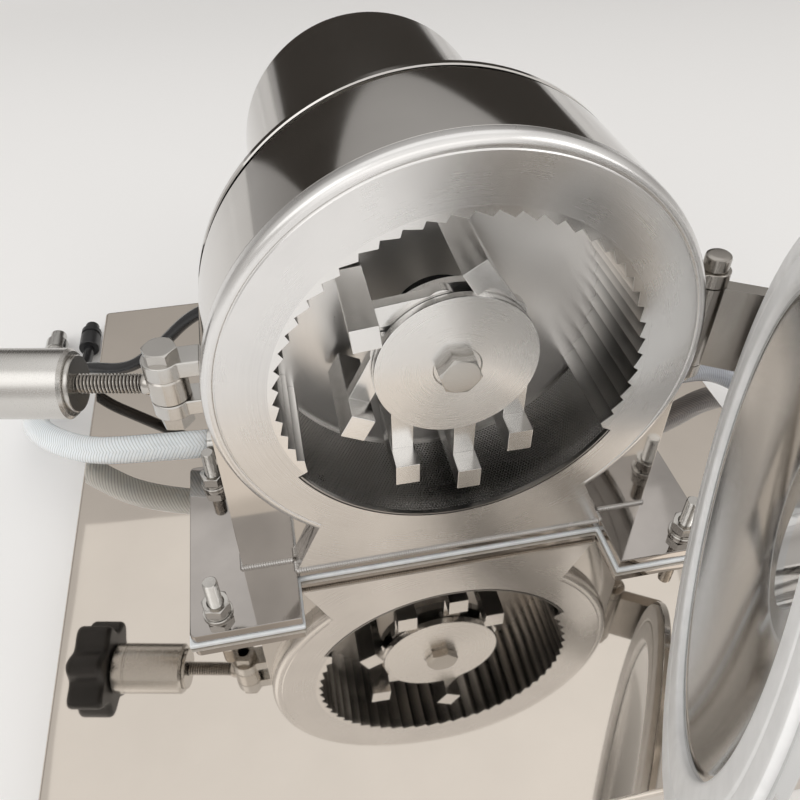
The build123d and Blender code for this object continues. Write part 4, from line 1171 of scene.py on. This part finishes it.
inside = bow((116, door_rim), (82, -33.02), (48, dish_inner), 24)
outside = bow((48, dish_outer), (83.2, -36.02), (119, door_back), 24)
door_edge = [(151.4, door_rim), (152, -14.9), (152, -18.5), (151.2, door_back)]
dish = drum_turned([(0, dish_inner)] + inside[::-1] + door_edge + outside[::-1] + [(0, dish_outer)], 180,
                   closed=False)
feed_foot = on_drum(0, dish_inner, 0)
feed_bore = round_bar((pipe_radius - pipe_wall) * mm, -0.064, 0.11, 72)
feed_bore.data.transform(Matrix.Translation(feed_foot) @ Matrix.Rotation(feed_lean, 4, "X"))
combine(dish, feed_bore, "DIFFERENCE")
soften(dish, 0.0004, 2, 40.0)
on_door(dish, "door_dish", 40.0)
mirror_door = steel("door_mirror", (0.66, 0.66, 0.655), 0.1, turning_marks, pitch=0.0015, depth=0.000003,
                    spread=0.04, haze=0.1, stain=0.1, centre=tuple(swing_open @ Vector(drum_middle)),
                    tilt=(0.0, 0.0, door_swing))
dress(dish, mirror_door, "door", "polished_steel", "door_shell")

pad = drum_turned([(118, door_rim), (149, door_rim), (149, -12.2), (148.4, -11.0), (147, -10.4), (137, -10.3),
                   (136.2, -10.7), (135, -11.2), (133.8, -10.7), (133, -10.3), (121, -10.4), (118.9, -10.9),
                   (118, -12)], 180)
on_door(pad, "door_gasket_pad", 40.0)
dress(pad, silicone("door_white_silicone", (0.93, 0.93, 0.925)), "door", "white_silicone", "door_gasket")

lug_root, lug_tip, lug_half, slot_half = -124, -196, 18, 7
lug_corner = arc(8, 90, 180, 5, (-188, 10))
slot = [(lug_tip, slot_half)] + arc(slot_half, 90, -90, 16, (swing_x, 0)) + [(lug_tip, -slot_half)]
lug_outline = ([(lug_root, -lug_half), (lug_root, lug_half)] + lug_corner + slot
               + [(x, -z) for x, z in lug_corner[::-1]])
lug = drum_slab(lug_outline, -26.3, door_back)
soften(lug, 0.0007, 2)
on_door(lug, "door_slotted_lug")
dress(lug, cast_bright, "door", "satin_steel", "door_lug")

# Feed hopper: a pipe welded into the middle of the door, bent upright, with a funnel on top.
# Both are rolled from thin sheet and buffed; a rolled wire stiffens the funnel's rim.
feed_run = 110.0
feed_bend = 33.0
feed_top = 92.0
feed_y = dish_inner - feed_run * math.sin(feed_lean)
feed_z = feed_run * math.cos(feed_lean)


def beside_heading(place, heading):
    """A matrix that turns a piece made along Z into a heading and moves it to a place."""
    return Matrix.Translation(place) @ Vector(heading).to_track_quat("Z", "Y").to_matrix().to_4x4()


def bent_tube(radius, around, foot, corner, end, bend, steps):
    """An open tube from a foot to an end, bent at a corner between them."""
    foot, corner, end = Vector(foot), Vector(corner), Vector(end)
    way, onward = (corner - foot).normalized(), (end - corner).normalized()
    sweep = way.angle(onward)
    reach = bend * math.tan(sweep / 2)
    start = corner - way * reach
    inward = (onward - way * onward.dot(way)).normalized()
    fresh()
    bpy.ops.mesh.primitive_circle_add(vertices=around, radius=radius)
    tube = bpy.context.object
    tube.data.transform(beside_heading(foot, way))
    edit()
    bpy.ops.mesh.select_all(action="SELECT")
    bpy.ops.mesh.extrude_region_move(TRANSFORM_OT_translate={"value": start - foot})
    bpy.ops.mesh.spin(steps=steps, angle=sweep, center=start + inward * bend, axis=onward.cross(way))
    bpy.ops.mesh.extrude_region_move(TRANSFORM_OT_translate={"value": end - corner - onward * reach})
    face_out()
    done()
    return tube


pipe = bent_tube(pipe_radius * mm, 72, feed_foot, on_drum(0, feed_y, feed_z), on_drum(0, feed_y, feed_top),
                 feed_bend * mm, 12)
modify(pipe, "SOLIDIFY", thickness=pipe_wall * mm, offset=-1.0)
feed_way = Vector((0.0, -math.sin(feed_lean), math.cos(feed_lean)))
for vert in pipe.data.vertices:
    if (vert.co - Vector(feed_foot)).dot(feed_way) < 0.001:
        vert.co += feed_way * (vert.co.y - on_drum(0, dish_outer, 0)[1]) / math.sin(feed_lean)
on_door(pipe, "feed_bent_pipe", 40.0)
dress(pipe, mirror_band, "door", "polished_steel", "feed_pipe")
funnel = turn([(0.0295, 0.092), (0.032, 0.092), (0.0710, 0.1486), (0.0716, 0.1494), (0.0714, 0.1499),
               (0.0705, 0.15), (0.0695, 0.15)], 96, closed=True)
funnel.data.transform(Matrix.Translation(on_drum(0, feed_y, 0)))
on_door(funnel, "feed_cone", 40.0)
dress(funnel, mirror_band, "door", "polished_steel", "feed_funnel")

# Water hoses: clear hose with a woven braid in its wall, pushed on the crimped tail of a plated elbow.
# One feeds the cooling jacket from the left and one drains it to the right; both come down to the floor
# and end in a coupling.
hose_radius = 0.011
hose_around, hose_along = 32, 150
braid_strands, braid_pitch = 16.0, 0.0028
left_hose = [(-0.166, 0.0725, 0.087), (-0.226, 0.0835, 0.081), (-0.271, 0.1075, 0.0638),
             (-0.318, 0.152, 0.0505), (-0.334, 0.206, 0.028), (-0.335, 0.262, 0.0111),
             (-0.335, 0.307, 0.0111)]
right_hose = [(0.166, 0.0725, 0.087), (0.230, 0.085, 0.083), (0.283, 0.0975, 0.0665), (0.322, 0.070, 0.046),
              (0.344, 0.020, 0.024), (0.350, -0.035, 0.0111), (0.350, -0.091, 0.0111)]


def route_curve(name, points):
    """A smooth open spline with a route's points as its control points."""
    line = bpy.data.curves.new(name, "CURVE")
    line.dimensions = "3D"
    line.resolution_u = 24
    spline = line.splines.new("NURBS")
    spline.points.add(len(points) - 1)
    for knot, point in zip(spline.points, points):
        knot.co = (*point, 1.0)
    spline.order_u = 3
    spline.use_endpoint_u = True
    piece = bpy.data.objects.new(name, line)
    bpy.context.scene.collection.objects.link(piece)
    return piece


def read_line(piece):
    """The points that a spline runs through."""
    bpy.context.view_layer.update()
    seen = bpy.data.meshes.new_from_object(piece.evaluated_get(bpy.context.evaluated_depsgraph_get()))
    points = [vert.co.copy() for vert in seen.vertices]
    bpy.data.meshes.remove(seen)
    return points


def lengths_along(points):
    """How far along a line each of its points is."""
    reach = [0.0]
    for before, after in zip(points, points[1:]):
        reach.append(reach[-1] + (after - before).length)
    return reach


def hose_tube(name, route):
    """A flat grid rolled up round the route's spline, so that the braid follows the hose."""
    guide = route_curve(name + "_guide", route)
    points = read_line(guide)
    bpy.data.objects.remove(guide)
    reach = lengths_along(points)
    fresh()
    bpy.ops.mesh.primitive_grid_add(x_subdivisions=hose_around, y_subdivisions=hose_along, size=1.0,
                                    calc_uvs=True)
    tube = bpy.context.object
    for vert in tube.data.vertices:
        along = (vert.co.y + 0.5) * reach[-1]
        step = max(index for index in range(len(reach) - 1) if reach[index] <= along + 1e-9)
        share = (along - reach[step]) / (reach[step + 1] - reach[step])
        heading = (points[step + 1] - points[step]).normalized()
        if 0 < step < len(points) - 2:
            ahead = (points[step + 2] - points[step + 1]).normalized()
            heading = heading.lerp(ahead, share).normalized()
        side = heading.cross(Vector((0, 0, 1))).normalized()
        crown = side.cross(heading)
        lean = 2 * math.pi * (vert.co.x + 0.5)
        vert.co = points[step].lerp(points[step + 1], share) + hose_radius * (
            side * math.cos(lean) + crown * math.sin(lean))
    close_up(0.00001)
    settle(tube, name, 40.0)
    return tube, points


def braided_hose(name, clear, length):
    """Clear hose with yarns laid in chevrons by the hose's own map: round it and along it."""
    material, tree, shader = new_material(name)
    own_map = add(tree, "ShaderNodeTexCoord", {}).outputs["UV"]
    where = add(tree, "ShaderNodeSeparateXYZ", {"Vector": own_map}).outputs
    fold = maths(tree, "PINGPONG", maths(tree, "ADD", where["X"], 0.1), 0.5)
    lay = maths(tree, "MULTIPLY_ADD", where["Y"], round(length / braid_pitch),
                maths(tree, "MULTIPLY", fold, braid_strands))
    wave = maths(tree, "MULTIPLY", maths(tree, "PINGPONG", lay, 0.5), 2.0)
    woven = ramp(tree, wave, [(0.55, 0.0), (0.85, 1.0)])
    cloud = noise(tree, place_on_piece(tree), 40.0, 3.0)
    milky = mix(tree, clear, shaded(clear, 0.9), cloud)
    plug(tree, shader, {"Base Color": mix(tree, milky, shaded(clear, 0.6), woven), "Roughness": 0.28,
                        "Coat Weight": 0.7, "Coat Roughness": 0.07, "Subsurface Weight": 1.0,
                        "Subsurface Radius": (0.026, 0.028, 0.03), "Subsurface Scale": 1.0})
    relief(tree, shader, woven, 0.0003, 0.35)
    return material


elbow_radius, elbow_bend, elbow_reach = 0.009, 0.0125, 0.0115
elbow_nut_y, elbow_stem_y = wall_y + 0.066, wall_y + 0.0735
tail_radius, tail_groove, tail_end = 0.013, 0.0122, 0.041
tail = [(0, 0.011), (0.0125, 0.011), (tail_radius, 0.0115)]
for ridge in range(3):
    low = 0.0155 + 0.008 * ridge
    tail += [(tail_radius, low), (tail_groove, low + 0.0008), (tail_groove, low + 0.0028),
             (tail_radius, low + 0.0036)]
tail += [(tail_radius, 0.0404), (0.0124, tail_end), (0, tail_end)]
coupling_profile = [(0, 0), (0.0102, 0), (0.0108, 0.0006), (0.0108, 0.0065), (0.0093, 0.0070),
                    (0.0093, 0.0106), (0.0108, 0.0111), (0.0108, 0.0259), (0.0100, 0.0267), (0.008, 0.0267),
                    (0.008, 0.0392), (0.0074, 0.0400), (0.0056, 0.0400), (0.0052, 0.0396), (0.0052, 0.0300),
                    (0, 0.0300)]
elbows = []
brass_plated = steel("fitting_plated", (0.64, 0.63, 0.61), 0.2, haze=0.16, stain=0.14)
# Both hoses are the same clear hose; the right one's dark grey colour is painted shade.
for side, route, clear in (("left", left_hose, (0.86, 0.93, 1.0)),
                           ("right", right_hose, (0.38, 0.395, 0.43))):
    hose, hose_points = hose_tube("water_hose_%s_braided" % side, route)
    length = lengths_along(hose_points)[-1]
    hose_skin = braided_hose("hose_%s_clear" % side, clear, length)
    dress(hose, hose_skin, "frame", "clear_hose", "water_hose_" + side)

    start, heading = Vector(route[0]), (Vector(route[1]) - Vector(route[0])).normalized()
    corner = start - heading * tail_end
    elbow_nut = hexagon_head(0.024, 0.0, 0.008)
    elbow_nut.data.transform(beside_heading((corner.x, elbow_nut_y, corner.z), (0, 1, 0)))
    stem = bent_tube(elbow_radius, 40, (corner.x, elbow_stem_y, corner.z), corner,
                     corner + heading * elbow_reach, elbow_bend, 14)
    close_up()
    crimped_tail = turn(tail, 48)
    crimped_tail.data.transform(beside_heading(corner, heading))
    elbows.append(joined([elbow_nut, stem, crimped_tail]))

    coupling = turn(coupling_profile, 56)
    coupling.data.transform(beside_heading(route[-1], Vector(route[-1]) - Vector(route[-2])))
    settle(coupling, "hose_tail_coupling_" + side)
    dress(coupling, brass_plated, "frame", "satin_steel", "hose_coupling_" + side)

water_elbows = settle(joined(elbows), "water_elbow_fittings")
dress(water_elbows, brass_plated, "frame", "satin_steel", "water_elbows")

# Motor lead: black round cable from a gland on the shroud's left, over the bed plate's edge to the floor.
# The gland and the connector are moulded; the cable has a glossy skin.
lead_radius = 0.0052
lead = [(-0.114195, 0.165, 0.16475), (-0.141385, 0.165, 0.15207), (-0.172495, 0.176, 0.13695),
        (-0.205995, 0.181, 0.10275), (-0.237495, 0.186, 0.07945), (-0.2745, 0.2085, 0.0705),
        (-0.298, 0.233, 0.052), (-0.3015, 0.258, 0.024), (-0.3015, 0.288, 0.0101), (-0.3015, 0.318, 0.0101)]
gland_x, gland_z = on_circle(1.0, 205)
gland_y = 197
gland = hexagon_head(0.018, 0.0, 0.009)
sleeve_end = turn([(0, 0.0088), (0.0081, 0.0088), (0.0081, 0.0102), (0.0076, 0.0112), (0.0074, 0.0128),
                   (0.0071, 0.0138), (0.0069, 0.0154), (0.0066, 0.0164), (0.0062, 0.0174), (0.0058, 0.0180),
                   (0, 0.0180)], 48)
combine(gland, sleeve_end, "UNION")
gland_place = on_drum(shroud_radius * gland_x, gland_y, shroud_radius * gland_z)
gland.data.transform(beside_heading(gland_place, (gland_x, 0.0, gland_z)))
settle(gland, "lead_gland_moulding")
dress(gland, black_moulding, "frame", "black_plastic", "lead_gland")

cable = route_curve("motor_lead_cable", lead)
lead_length = lengths_along(read_line(cable))[-1]
cable.data.bevel_depth = lead_radius
cable.data.bevel_resolution = 6
cable.data.use_fill_caps = True
cable_skin = moulded("lead_skin", (0.013, 0.013, 0.014), 0.22)
dress(cable, cable_skin, "frame", "black_rubber", "motor_lead")

connector = turn([(0, 0), (0.0092, 0), (0.0100, 0.0008), (0.0100, 0.0196), (0.0085, 0.0202), (0.0085, 0.0228),
                  (0.0100, 0.0234), (0.0100, 0.0292), (0.0092, 0.0300), (0.0070, 0.0300), (0.0070, 0.0394),
                  (0.0064, 0.0400), (0.0052, 0.0400), (0.0048, 0.0396), (0.0048, 0.0320), (0, 0.0320)], 56)
connector.data.transform(beside_heading(lead[-1], Vector(lead[-1]) - Vector(lead[-2])))
settle(connector, "lead_round_connector")
dress(connector, black_moulding, "frame", "black_plastic", "lead_connector")
